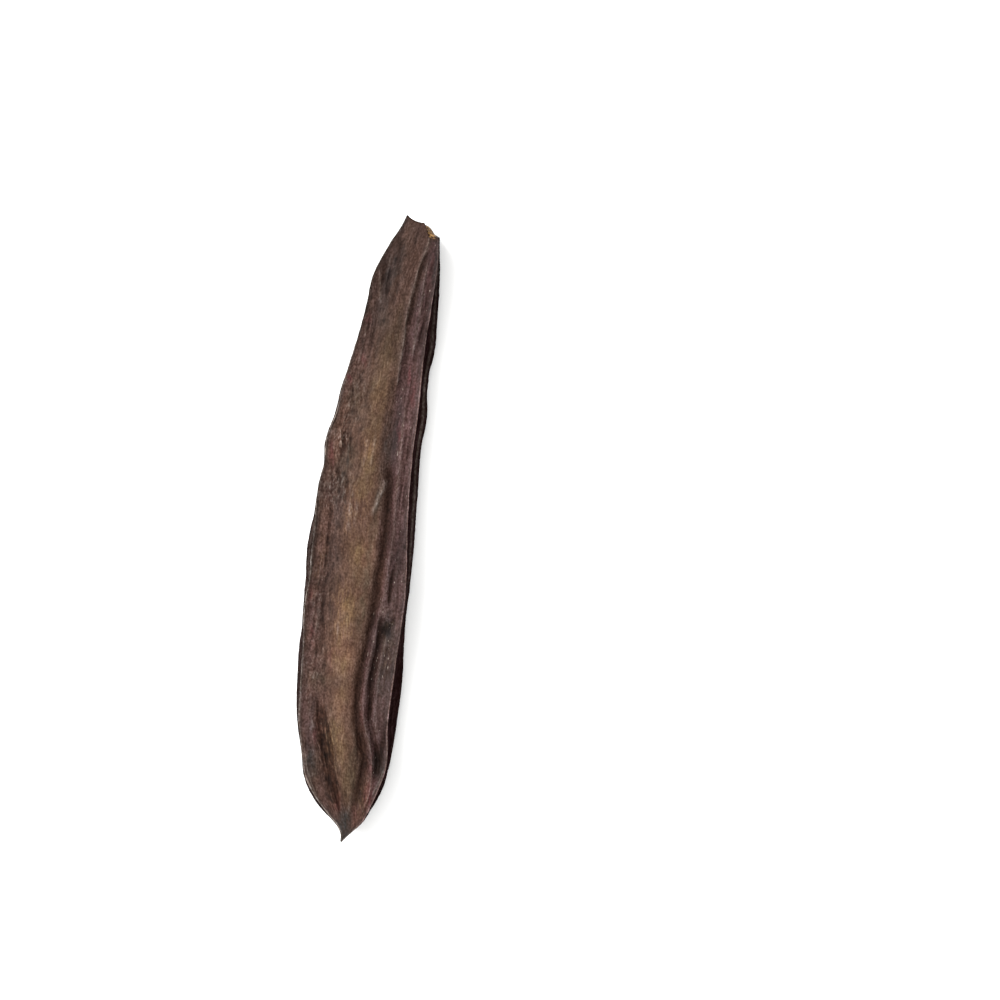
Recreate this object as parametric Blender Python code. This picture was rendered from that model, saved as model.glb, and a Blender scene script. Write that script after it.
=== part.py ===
"""A dried carob pod: one flat, gently curved seed pod that grew as a single piece.

The pod lies on one broad face, with the torn stem end towards +Y and the beak towards -Y.
Every point on it is worked out in millimetres from two coordinates. The station runs along
the chord, from the stem end at 0 to the tip of the beak. The offset runs across the chord and
is positive to the right as seen from above. Heights are above the surface that the pod lies on.
"""

import math

import bpy
import numpy as np

MM = 0.001

# Driving dimensions
POD_LENGTH = 160.0
RIM_TUCK = 1.3
SUTURE_GROOVE = 0.55
WIDEST_OF_WALL = 0.6
RIM_LIP_HEIGHT = 0.25
RIM_LIP_WIDTH = 1.0
SEED_SPACING = 13.0
SEED_SWELL = 0.18
STEM_BLEND = 18.0
SCAR_RECESS = 1.3
BEAK_CAP = 0.3
FULL_HALF_THICKNESS = 4.2

# Outline of the pod seen from above, as (station, offset)
LEFT_EDGE = [
    (-3, -4.8), (0, -5.8), (5, -8.2), (10, -10.3), (14, -11.6), (20, -12.1), (30, -13.4),
    (38, -14.9), (45, -16.1), (50, -16.6), (57, -18.2), (63, -17.8), (70, -18.5), (78, -18.6),
    (86, -19.1), (94, -18.5), (100, -18.3), (108, -17.7), (112, -17.8), (120, -17.2),
    (130, -15.9), (140, -13.2), (145, -11.9), (150, -9.0), (153, -5.8), (156, -2.1),
    (158, -0.6), (160, -0.25),
]
RIGHT_EDGE = [
    (-3, 3.7), (2, 4.5), (8, 5.4), (20, 6.4), (30, 7.1), (38, 6.4), (49, 7.4), (58, 6.9),
    (66, 7.5), (80, 8.4), (95, 9.0), (103, 9.0), (112, 9.8), (125, 10.3), (135, 10.1),
    (141, 9.5), (146, 8.6), (150, 7.1), (155, 4.6), (158, 1.9), (160, 0.25),
]
# How far the upper rim of each margin stands in from that outline, as (station, inset)
LEFT_INSET = [
    (-3, 0.2), (40, 0.4), (50, 0.6), (57, 0.6), (64, 0.4), (75, 0.6), (86, 1.5), (92, 1.4),
    (98, 0.9), (106, 0.7), (112, 1.3), (122, 1.2), (135, 0.6), (143, 0.5), (148, 1.2),
    (151, 1.3), (154, 0.9), (158, 0.1), (160, 0.0),
]
RIGHT_INSET = [
    (-3, 0.3), (8, 0.5), (20, 1.6), (30, 2.6), (38, 1.7), (49, 2.3), (58, 1.8), (68, 2.1),
    (78, 1.9), (90, 1.1), (104, 0.9), (112, 1.8), (121, 2.3), (130, 2.2), (140, 0.6),
    (146, 0.9), (152, 0.5), (158, 0.1), (160, 0.0),
]
# Half the thickness of the margins and the height of the pod's middle, as (station, height)
HALF_THICKNESS = [
    (-3, 2.9), (8, 3.6), (25, 4.2), (50, 4.4), (85, 4.5), (125, 4.4), (140, 3.8), (150, 2.7),
    (156, 1.4), (160, 0.45),
]
MIDDLE_HEIGHT = [
    (-3, 6.0), (20, 5.0), (40, 3.9), (60, 4.4), (85, 4.9), (105, 4.5), (123, 3.9),
    (145, 4.5), (155, 5.0), (160, 5.4),
]

# The seed swelling down the middle of each face: its line, half-width and height
SWELL_LINE = [
    (-3, -1.5), (20, -4.2), (40, -5.8), (60, -6.7), (75, -6.9), (90, -6.2), (110, -5.9),
    (120, -5.6), (130, -3.6), (140, -1.6), (150, 0.4), (160, 0.0),
]
SWELL_WIDTH = [(-3, 2.4), (20, 3.6), (50, 4.6), (90, 5.4), (120, 4.6), (140, 3.2), (160, 1.0)]
UPPER_SWELL = [(-3, 0.1), (15, 0.8), (50, 1.2), (110, 1.3), (140, 0.9), (156, 0.2), (160, 0.0)]
LOWER_SWELL = [(-3, 0.1), (20, 0.3), (80, 0.6), (130, 0.4), (156, 0.1), (160, 0.0)]
# How deep each face sinks between its rims
DISH = [(-3, 0.2), (15, 0.7), (60, 1.0), (125, 1.0), (145, 0.7), (156, 0.2), (160, 0.0)]

# Furrows as (path, depth, half-width). A path is (station, offset), and a ridge is a furrow
# of negative depth.
UPPER_FURROWS = [
    # The long furrow to the right of the seeds
    ([(4, 2.9), (8, 1.9), (12, 1.0), (20, 0.1), (30, -0.1), (38, -0.2), (46, -0.9)], 0.28, 0.7),
    ([(36, -0.8), (46, -1.1), (54, -1.3), (60, -1.1), (64, -0.7), (68, -0.1)], 0.75, 1.6),
    ([(60, -0.6), (66, 0.1), (72, 0.6), (80, 0.9), (90, 0.8), (98, 0.7), (105, 0.2),
      (112, -0.35), (118, -0.8), (123, -0.85), (127, -0.3), (130, 0.5), (134, 2.0),
      (139, 3.2), (144, 3.0), (149, 2.9), (155, 2.1)], 1.5, 1.15),
    # The rounded ridge beyond it, which runs on to the beak
    ([(2, 2.1), (8, 0.9), (15, -0.5), (24, -1.4), (34, -1.5), (44, -1.4)], -0.35, 0.6),
    ([(50, 1.5), (60, 2.2), (70, 2.4), (80, 2.9), (88, 2.5), (98, 2.1), (106, 1.3), (112, 1.0),
      (118, 0.7), (124, 1.0), (129, 1.8), (134, 3.8), (138, 5.0), (142, 5.5), (147, 5.5),
      (151, 4.6), (155, 3.2)], -0.5, 0.8),
    # The shorter furrows and the hollow in the right margin
    ([(82, 4.6), (89, 4.4), (95, 4.3), (101, 4.7)], 0.35, 0.55),
    ([(100, 4.3), (104, 4.3), (108, 4.2)], 0.6, 1.8),
    ([(101, 4.1), (105, 3.5), (110, 2.9), (116, 2.5), (122, 2.8), (128, 3.2), (133, 4.9),
      (137, 6.2), (144, 7.0)], 1.2, 0.8),
    # The furrows of the left margin
    ([(6, -6.6), (13, -8.9), (19, -8.6), (27, -8.8), (36, -10.2)], 0.3, 1.1),
    ([(46, -12.4), (56, -12.8), (66, -13.4), (80, -13.9), (90, -13.1), (97, -13.2),
      (106, -12.0), (117, -12.2)], 0.45, 1.1),
    ([(121, -11.6), (126, -10.2), (131, -8.8), (137, -7.1), (143, -5.5), (149, -2.8),
      (155, -0.6)], 0.55, 1.3),
]
LOWER_FURROWS = [
    ([(10, 0.9), (25, 0.4), (45, 0.2), (60, 1.2), (80, 2.0), (100, 2.2), (118, 1.0),
      (130, 2.2), (142, 3.6)], 1.1, 1.2),
    ([(14, -7.2), (35, -9.0), (55, -11.4), (75, -12.9), (95, -12.8), (112, -12.0),
      (128, -9.4), (142, -5.6)], 0.9, 1.1),
    ([(44, 2.6), (60, 3.4), (82, 4.4), (104, 4.8), (122, 3.8), (136, 5.2)], -0.45, 0.9),
]
FURROW_FADE = 7.0

# The torn stem end, as (share of the width from the left, station) round its edge
UPPER_END = [
    (0.0, -2.6), (0.15, -1.9), (0.3, -1.4), (0.5, -1.1), (0.6, -1.0), (0.68, 0.3), (0.75, 2.0),
    (0.82, 2.6), (1.0, 2.5),
]
LOWER_END = [(0.0, -2.2), (0.3, -1.3), (0.6, -1.1), (0.75, -0.8), (0.88, 0.0), (1.0, 1.4)]

# How finely the solid is divided
UPPER_CELLS = 22
LOWER_CELLS = 14
WALL_CELLS = 5
STATION_STEPS = [(0.0, 2), (3.0, 5), (14.0, 76), (142.0, 9), (152.0, 12)]
SCAR_RINGS = (0.82, 0.55, 0.27)
CROWDING = 0.35
CROWDED_AT = 0.68

SKIN_COLOUR = (0.066, 0.043, 0.034, 1.0)
SKIN_ROUGHNESS = 0.62


def through(points, x):
    """The height at x of a smooth curve through (x, y) points: a cubic between each two."""
    xs, ys = np.array(points, float).T
    slopes = np.gradient(ys, xs)
    i = np.clip(np.searchsorted(xs, x) - 1, 0, len(xs) - 2)
    step = xs[i + 1] - xs[i]
    t = np.clip((x - xs[i]) / step, 0, 1)
    return (
        (2 * t**3 - 3 * t**2 + 1) * ys[i]
        + (t**3 - 2 * t**2 + t) * step * slopes[i]
        + (3 * t**2 - 2 * t**3) * ys[i + 1]
        + (t**3 - t**2) * step * slopes[i + 1]
    )


def ease(t):
    """Rises smoothly from 0 to 1 as t does."""
    t = np.clip(t, 0, 1)
    return t * t * (3 - 2 * t)


def furrow(station, offset, path, depth, width):
    """A rounded groove along a path, which fades out over its last few millimetres."""
    first, last = path[0][0], path[-1][0]
    fade = ease((station - first) / FURROW_FADE) * ease((last - station) / FURROW_FADE)
    across = (offset - through(path, station)) / width
    return -depth * fade * np.exp(-(across**2))


def relief(station, offset, left, right, swell, furrows):
    """How far a broad face stands out from the level of its rims."""
    share = np.clip((offset - left) / (right - left), 0, 1)
    height = -through(DISH, station) * (4 * share * (1 - share)) ** 0.6
    seeds = 1 + SEED_SWELL * np.cos(2 * math.pi * station / SEED_SPACING)
    across = (offset - through(SWELL_LINE, station)) / through(SWELL_WIDTH, station)
    height += through(swell, station) * seeds * np.exp(-(across**2))
    for path, depth, width in furrows:
        height += furrow(station, offset, path, depth, width)
    for rim in (left, right):
        height += RIM_LIP_HEIGHT * np.exp(-(((offset - rim) / RIM_LIP_WIDTH) ** 2))
    slimmer = np.clip(through(HALF_THICKNESS, station) / FULL_HALF_THICKNESS, 0, 1)
    return height * slimmer


def wall_offset(share, upper_rim, edge, lower_rim):
    """How far across a margin's wall lies, from the upper rim at share 0 to the lower at 1.

    It swings out from the rim to the pod's edge, with the suture's groove on the way, and
    tucks in below it.
    """
    above = np.clip(share / WIDEST_OF_WALL, 0, 1)
    below = np.clip((share - WIDEST_OF_WALL) / (1 - WIDEST_OF_WALL), 0, 1)
    inwards = np.sign(upper_rim + lower_rim - 2 * edge)
    groove = SUTURE_GROOVE * np.sin(math.pi * above) ** 2
    slim = np.clip(np.abs(upper_rim - edge) + RIM_TUCK, 0, 1)
    return (
        upper_rim
        + (edge - upper_rim) * ease(above)
        + (lower_rim - edge) * below**2
        + inwards * groove * slim
    )


def crowded(cells):
    """Shares of a face's width, from 0 to 1, set closer together where the ridges are."""
    share = np.linspace(0, 1, cells + 1)
    swing = np.sin(2 * math.pi * (share - CROWDED_AT)) + math.sin(2 * math.pi * CROWDED_AT)
    return share - CROWDING * swing / (2 * math.pi)


def ring_layout():
    """For each point of a ring: its part, its share along that part, and its end station."""
    upper = crowded(UPPER_CELLS)
    lower = crowded(LOWER_CELLS)[::-1]
    wall = np.arange(1, WALL_CELLS) / WALL_CELLS
    parts = np.repeat(
        ["upper", "right", "lower", "left"], [len(upper), len(wall), len(lower), len(wall)]
    )
    shares = np.concatenate([upper, wall, lower, wall[::-1]])
    right_end = UPPER_END[-1][1] + (LOWER_END[-1][1] - UPPER_END[-1][1]) * wall
    left_end = UPPER_END[0][1] + (LOWER_END[0][1] - UPPER_END[0][1]) * wall[::-1]
    ends = [through(UPPER_END, upper), right_end, through(LOWER_END, lower), left_end]
    return parts, shares, np.concatenate(ends)


def station_list():
    """Stations from the stem end to the beak, closer together at both ends."""
    starts = [start for start, _ in STATION_STEPS] + [POD_LENGTH]
    runs = [
        np.linspace(starts[i], starts[i + 1], cells, endpoint=False)
        for i, (_, cells) in enumerate(STATION_STEPS)
    ]
    return np.append(np.concatenate(runs), POD_LENGTH)


def skin_points():
    """The pod's skin as a grid of (station, offset, height), one ring for each station."""
    parts, shares, ends = ring_layout()
    base = station_list()[:, None]
    station = base + ends * (1 - np.clip(base / STEM_BLEND, 0, 1)) ** 2
    share = np.broadcast_to(shares, station.shape)
    left_edge = through(LEFT_EDGE, station)
    right_edge = through(RIGHT_EDGE, station)
    half_width = (right_edge - left_edge) / 2
    tuck = np.minimum(RIM_TUCK, 0.4 * half_width)
    left_rim = left_edge + through(LEFT_INSET, station)
    right_rim = right_edge - through(RIGHT_INSET, station)
    middle = through(MIDDLE_HEIGHT, station)
    half = through(HALF_THICKNESS, station)

    def across(left, right):
        return left + share * (right - left)

    def face(left, right, swell, furrows):
        return half + relief(station, across(left, right), left, right, swell, furrows)

    low_left, low_right = left_edge + tuck, right_edge - tuck
    top = middle + face(left_rim, right_rim, UPPER_SWELL, UPPER_FURROWS)
    bottom = middle - face(low_left, low_right, LOWER_SWELL, LOWER_FURROWS)
    lip = RIM_LIP_HEIGHT * np.clip(half / FULL_HALF_THICKNESS, 0, 1)
    wall = middle + (half + lip) * (1 - 2 * share)
    is_part = [parts == name for name in ("upper", "right", "lower", "left")]
    offset = np.select(
        is_part,
        [
            across(left_rim, right_rim),
            wall_offset(share, right_rim, right_edge, low_right),
            across(low_left, low_right),
            wall_offset(share, left_rim, left_edge, low_left),
        ],
    )
    height = np.select(is_part, [top, wall, bottom, wall])
    return np.stack([station, offset, np.maximum(height, 0)], axis=-1)


def scar_points(edge):
    """Rings that close the torn stem end, sunk towards its left and full at its right."""
    centre = edge.mean(axis=0)
    span = np.ptp(edge[:, 1])
    rings = []
    for share in SCAR_RINGS:
        ring = centre + (edge - centre) * share
        dry = ease((centre[1] + 0.1 * span - ring[:, 1]) / (0.3 * span))
        ring[:, 0] += SCAR_RECESS * dry * (1 - share**2)
        rings.append(ring)
    return rings, centre


def to_model(points):
    """Station, offset and height in millimetres to X, Y and Z in metres, centred."""
    fine = np.linspace(0, POD_LENGTH, 1601)
    middle = (through(LEFT_EDGE, fine).min() + through(RIGHT_EDGE, fine).max()) / 2
    halfway = (UPPER_END[0][1] + POD_LENGTH + BEAK_CAP) / 2
    station, offset, height = np.moveaxis(points, -1, 0)
    return np.stack([offset - middle, halfway - station, height], axis=-1) * MM


def pod_mesh():
    """One closed mesh: the skin, the torn end and the tip of the beak."""
    skin = skin_points()
    rings, centre = scar_points(skin[0])
    beak = skin[-1].mean(axis=0) + (BEAK_CAP, 0, 0)
    loops = [*rings[::-1], *skin]
    around = len(skin[0])
    points = np.concatenate([*loops, [centre], [beak]])
    faces = []
    for i in range(len(loops) - 1):
        for j in range(around):
            k = (j + 1) % around
            near, far = i * around, (i + 1) * around
            faces.append((near + j, far + j, far + k, near + k))
    scar_pole, beak_pole = len(points) - 2, len(points) - 1
    last = (len(loops) - 1) * around
    for j in range(around):
        k = (j + 1) % around
        faces.append((scar_pole, j, k))
        faces.append((beak_pole, last + k, last + j))
    mesh = bpy.data.meshes.new("pod")
    mesh.from_pydata(to_model(points).tolist(), [], faces)
    mesh.update()
    mesh.shade_smooth()
    return mesh


def skin_material():
    """Dried pod skin: dark brown with a dull sheen."""
    material = bpy.data.materials.new("dried_pod_skin")
    material.use_nodes = True
    shader = material.node_tree.nodes["Principled BSDF"]
    shader.inputs["Base Color"].default_value = SKIN_COLOUR
    shader.inputs["Roughness"].default_value = SKIN_ROUGHNESS
    shader.inputs["Metallic"].default_value = 0.0
    return material


def main():
    for old in list(bpy.data.objects):
        bpy.data.objects.remove(old)
    pod = bpy.data.objects.new("pod", pod_mesh())
    pod.data.materials.append(skin_material())
    bpy.context.scene.collection.objects.link(pod)


main()
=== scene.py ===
"""A dried carob pod with the fine relief and finish of its skin, and the stage it is seen on.

The pod's form is worked out in millimetres from two coordinates. The station runs along the
chord, from the stem end at 0 to the tip of the beak. The offset runs across the chord and is
positive to the right as seen from above. Heights are above the surface that the pod lies on.
"""

import math
from types import SimpleNamespace

import bpy
import numpy as np
from mathutils import Matrix, Vector


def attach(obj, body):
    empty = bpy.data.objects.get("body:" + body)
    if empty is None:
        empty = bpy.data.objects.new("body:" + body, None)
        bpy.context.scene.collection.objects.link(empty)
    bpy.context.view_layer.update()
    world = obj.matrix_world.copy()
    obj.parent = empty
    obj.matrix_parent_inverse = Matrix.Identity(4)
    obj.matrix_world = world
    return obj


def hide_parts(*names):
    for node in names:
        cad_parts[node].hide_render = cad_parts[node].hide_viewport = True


bl_info = {
    "name": "Carob Pod",
    "version": (1, 0, 0),
    "blender": (4, 5, 0),
    "location": "3D View > Sidebar > Carob Pod",
    "description": "Models the fine skin of a dried carob pod and the stage that it lies on",
    "category": "Object",
}

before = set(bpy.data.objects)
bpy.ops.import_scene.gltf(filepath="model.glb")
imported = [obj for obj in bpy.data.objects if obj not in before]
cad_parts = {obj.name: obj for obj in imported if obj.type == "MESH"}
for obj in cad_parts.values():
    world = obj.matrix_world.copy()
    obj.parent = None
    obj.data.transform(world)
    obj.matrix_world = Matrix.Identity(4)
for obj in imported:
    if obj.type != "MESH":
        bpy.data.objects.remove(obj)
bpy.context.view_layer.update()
MM = 0.001

# Form of the pod: driving sizes
POD_LENGTH = 160.0
RIM_TUCK = 1.3
SUTURE_GROOVE = 0.55
WIDEST_OF_WALL = 0.6
RIM_LIP_HEIGHT = 0.25
RIM_LIP_WIDTH = 1.0
SEED_SPACING = 13.0
SEED_SWELL = 0.18
STEM_BLEND = 18.0
SCAR_RECESS = 1.3
BEAK_CAP = 0.3
FULL_HALF_THICKNESS = 4.2

# Outline of the pod seen from above, as (station, offset)
LEFT_EDGE = [
    (-3, -4.8), (0, -5.8), (5, -8.2), (10, -10.3), (14, -11.6), (20, -12.1), (30, -13.4),
    (38, -14.9), (45, -16.1), (50, -16.6), (57, -18.2), (63, -17.8), (70, -18.5), (78, -18.6),
    (86, -19.1), (94, -18.5), (100, -18.3), (108, -17.7), (112, -17.8), (120, -17.2), (130, -15.9),
    (140, -13.2), (145, -11.9), (150, -9), (153, -5.8), (156, -2.1), (158, -0.6), (160, -0.25),
]
RIGHT_EDGE = [
    (-3, 3.7), (2, 4.5), (8, 5.4), (20, 6.4), (30, 7.1), (38, 6.4), (49, 7.4), (58, 6.9), (66, 7.5),
    (80, 8.4), (95, 9), (103, 9), (112, 9.8), (125, 10.3), (135, 10.1), (141, 9.5), (146, 8.6),
    (150, 7.1), (155, 4.6), (158, 1.9), (160, 0.25),
]
# How far the upper rim of each margin stands in from that outline, as (station, inset)
LEFT_INSET = [
    (-3, 0.2), (40, 0.4), (50, 0.6), (57, 0.6), (64, 0.4), (75, 0.6), (86, 1.5), (92, 1.4),
    (98, 0.9), (106, 0.7), (112, 1.3), (122, 1.2), (135, 0.6), (143, 0.5), (148, 1.2), (151, 1.3),
    (154, 0.9), (158, 0.1), (160, 0),
]
RIGHT_INSET = [
    (-3, 0.3), (8, 0.5), (20, 1.6), (30, 2.6), (38, 1.7), (49, 2.3), (58, 1.8), (68, 2.1),
    (78, 1.9), (90, 1.1), (104, 0.9), (112, 1.8), (121, 2.3), (130, 2.2), (140, 0.6), (146, 0.9),
    (152, 0.5), (158, 0.1), (160, 0),
]
# Half the thickness of the margins and the height of the pod's middle, as (station, height)
HALF_THICKNESS = [
    (-3, 2.9), (8, 3.6), (25, 4.2), (50, 4.4), (85, 4.5), (125, 4.4), (140, 3.8), (150, 2.7),
    (156, 1.4), (160, 0.45),
]
MIDDLE_HEIGHT = [
    (-3, 6), (20, 5), (40, 3.9), (60, 4.4), (85, 4.9), (105, 4.5), (123, 3.9), (145, 4.5), (155, 5),
    (160, 5.4),
]

# The seed swelling down the middle of each face: its line, half-width and height
SWELL_LINE = [
    (-3, -1.5), (20, -4.2), (40, -5.8), (60, -6.7), (75, -6.9), (90, -6.2), (110, -5.9),
    (120, -5.6), (130, -3.6), (140, -1.6), (150, 0.4), (160, 0),
]
SWELL_WIDTH = [(-3, 2.4), (20, 3.6), (50, 4.6), (90, 5.4), (120, 4.6), (140, 3.2), (160, 1)]
UPPER_SWELL = [(-3, 0.1), (15, 0.8), (50, 1.2), (110, 1.3), (140, 0.9), (156, 0.2), (160, 0)]
LOWER_SWELL = [(-3, 0.1), (20, 0.3), (80, 0.6), (130, 0.4), (156, 0.1), (160, 0)]
# How deep each face sinks between its rims
DISH = [(-3, 0.2), (15, 0.7), (60, 1), (125, 1), (145, 0.7), (156, 0.2), (160, 0)]

# Furrows as (path, depth, half-width). A path is (station, offset), and a ridge is a furrow
# of negative depth.
UPPER_FURROWS = [
    # The long furrow to the right of the seeds
    ([(4, 2.9), (8, 1.9), (12, 1), (20, 0.1), (30, -0.1), (38, -0.2), (46, -0.9)], 0.28, 0.7),
    ([(36, -0.8), (46, -1.1), (54, -1.3), (60, -1.1), (64, -0.7), (68, -0.1)], 0.75, 1.6),
    ([(60, -0.6), (66, 0.1), (72, 0.6), (80, 0.9), (90, 0.8), (98, 0.7), (105, 0.2),
      (112, -0.35), (118, -0.8), (123, -0.85), (127, -0.3), (130, 0.5), (134, 2),
      (139, 3.2), (144, 3), (149, 2.9), (155, 2.1)], 1.5, 1.15),
    # The rounded ridge beyond it, which runs on to the beak
    ([(2, 2.1), (8, 0.9), (15, -0.5), (24, -1.4), (34, -1.5), (44, -1.4)], -0.35, 0.6),
    ([(50, 1.5), (60, 2.2), (70, 2.4), (80, 2.9), (88, 2.5), (98, 2.1), (106, 1.3), (112, 1),
      (118, 0.7), (124, 1), (129, 1.8), (134, 3.8), (138, 5), (142, 5.5), (147, 5.5),
      (151, 4.6), (155, 3.2)], -0.5, 0.8),
    # The shorter furrows and the hollow in the right margin
    ([(82, 4.6), (89, 4.4), (95, 4.3), (101, 4.7)], 0.35, 0.55),
    ([(100, 4.3), (104, 4.3), (108, 4.2)], 0.6, 1.8),
    ([(101, 4.1), (105, 3.5), (110, 2.9), (116, 2.5), (122, 2.8), (128, 3.2), (133, 4.9),
      (137, 6.2), (144, 7)], 1.2, 0.8),
    # The furrows of the left margin
    ([(6, -6.6), (13, -8.9), (19, -8.6), (27, -8.8), (36, -10.2)], 0.3, 1.1),
    ([(46, -12.4), (56, -12.8), (66, -13.4), (80, -13.9), (90, -13.1), (97, -13.2),
      (106, -12), (117, -12.2)], 0.45, 1.1),
    ([(121, -11.6), (126, -10.2), (131, -8.8), (137, -7.1), (143, -5.5), (149, -2.8),
      (155, -0.6)], 0.55, 1.3),
]
LOWER_FURROWS = [
    ([(10, 0.9), (25, 0.4), (45, 0.2), (60, 1.2), (80, 2), (100, 2.2), (118, 1),
      (130, 2.2), (142, 3.6)], 1.1, 1.2),
    ([(14, -7.2), (35, -9), (55, -11.4), (75, -12.9), (95, -12.8), (112, -12),
      (128, -9.4), (142, -5.6)], 0.9, 1.1),
    ([(44, 2.6), (60, 3.4), (82, 4.4), (104, 4.8), (122, 3.8), (136, 5.2)], -0.45, 0.9),
]
FURROW_FADE = 7.0

# The torn stem end, as (share of the width from the left, station) round its edge
UPPER_END = [
    (0, -2.6), (0.15, -1.9), (0.3, -1.4), (0.5, -1.1), (0.6, -1), (0.68, 0.3), (0.75, 2),
    (0.82, 2.6), (1, 2.5),
]
LOWER_END = [(0, -2.2), (0.3, -1.3), (0.6, -1.1), (0.75, -0.8), (0.88, 0), (1, 1.4)]

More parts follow.
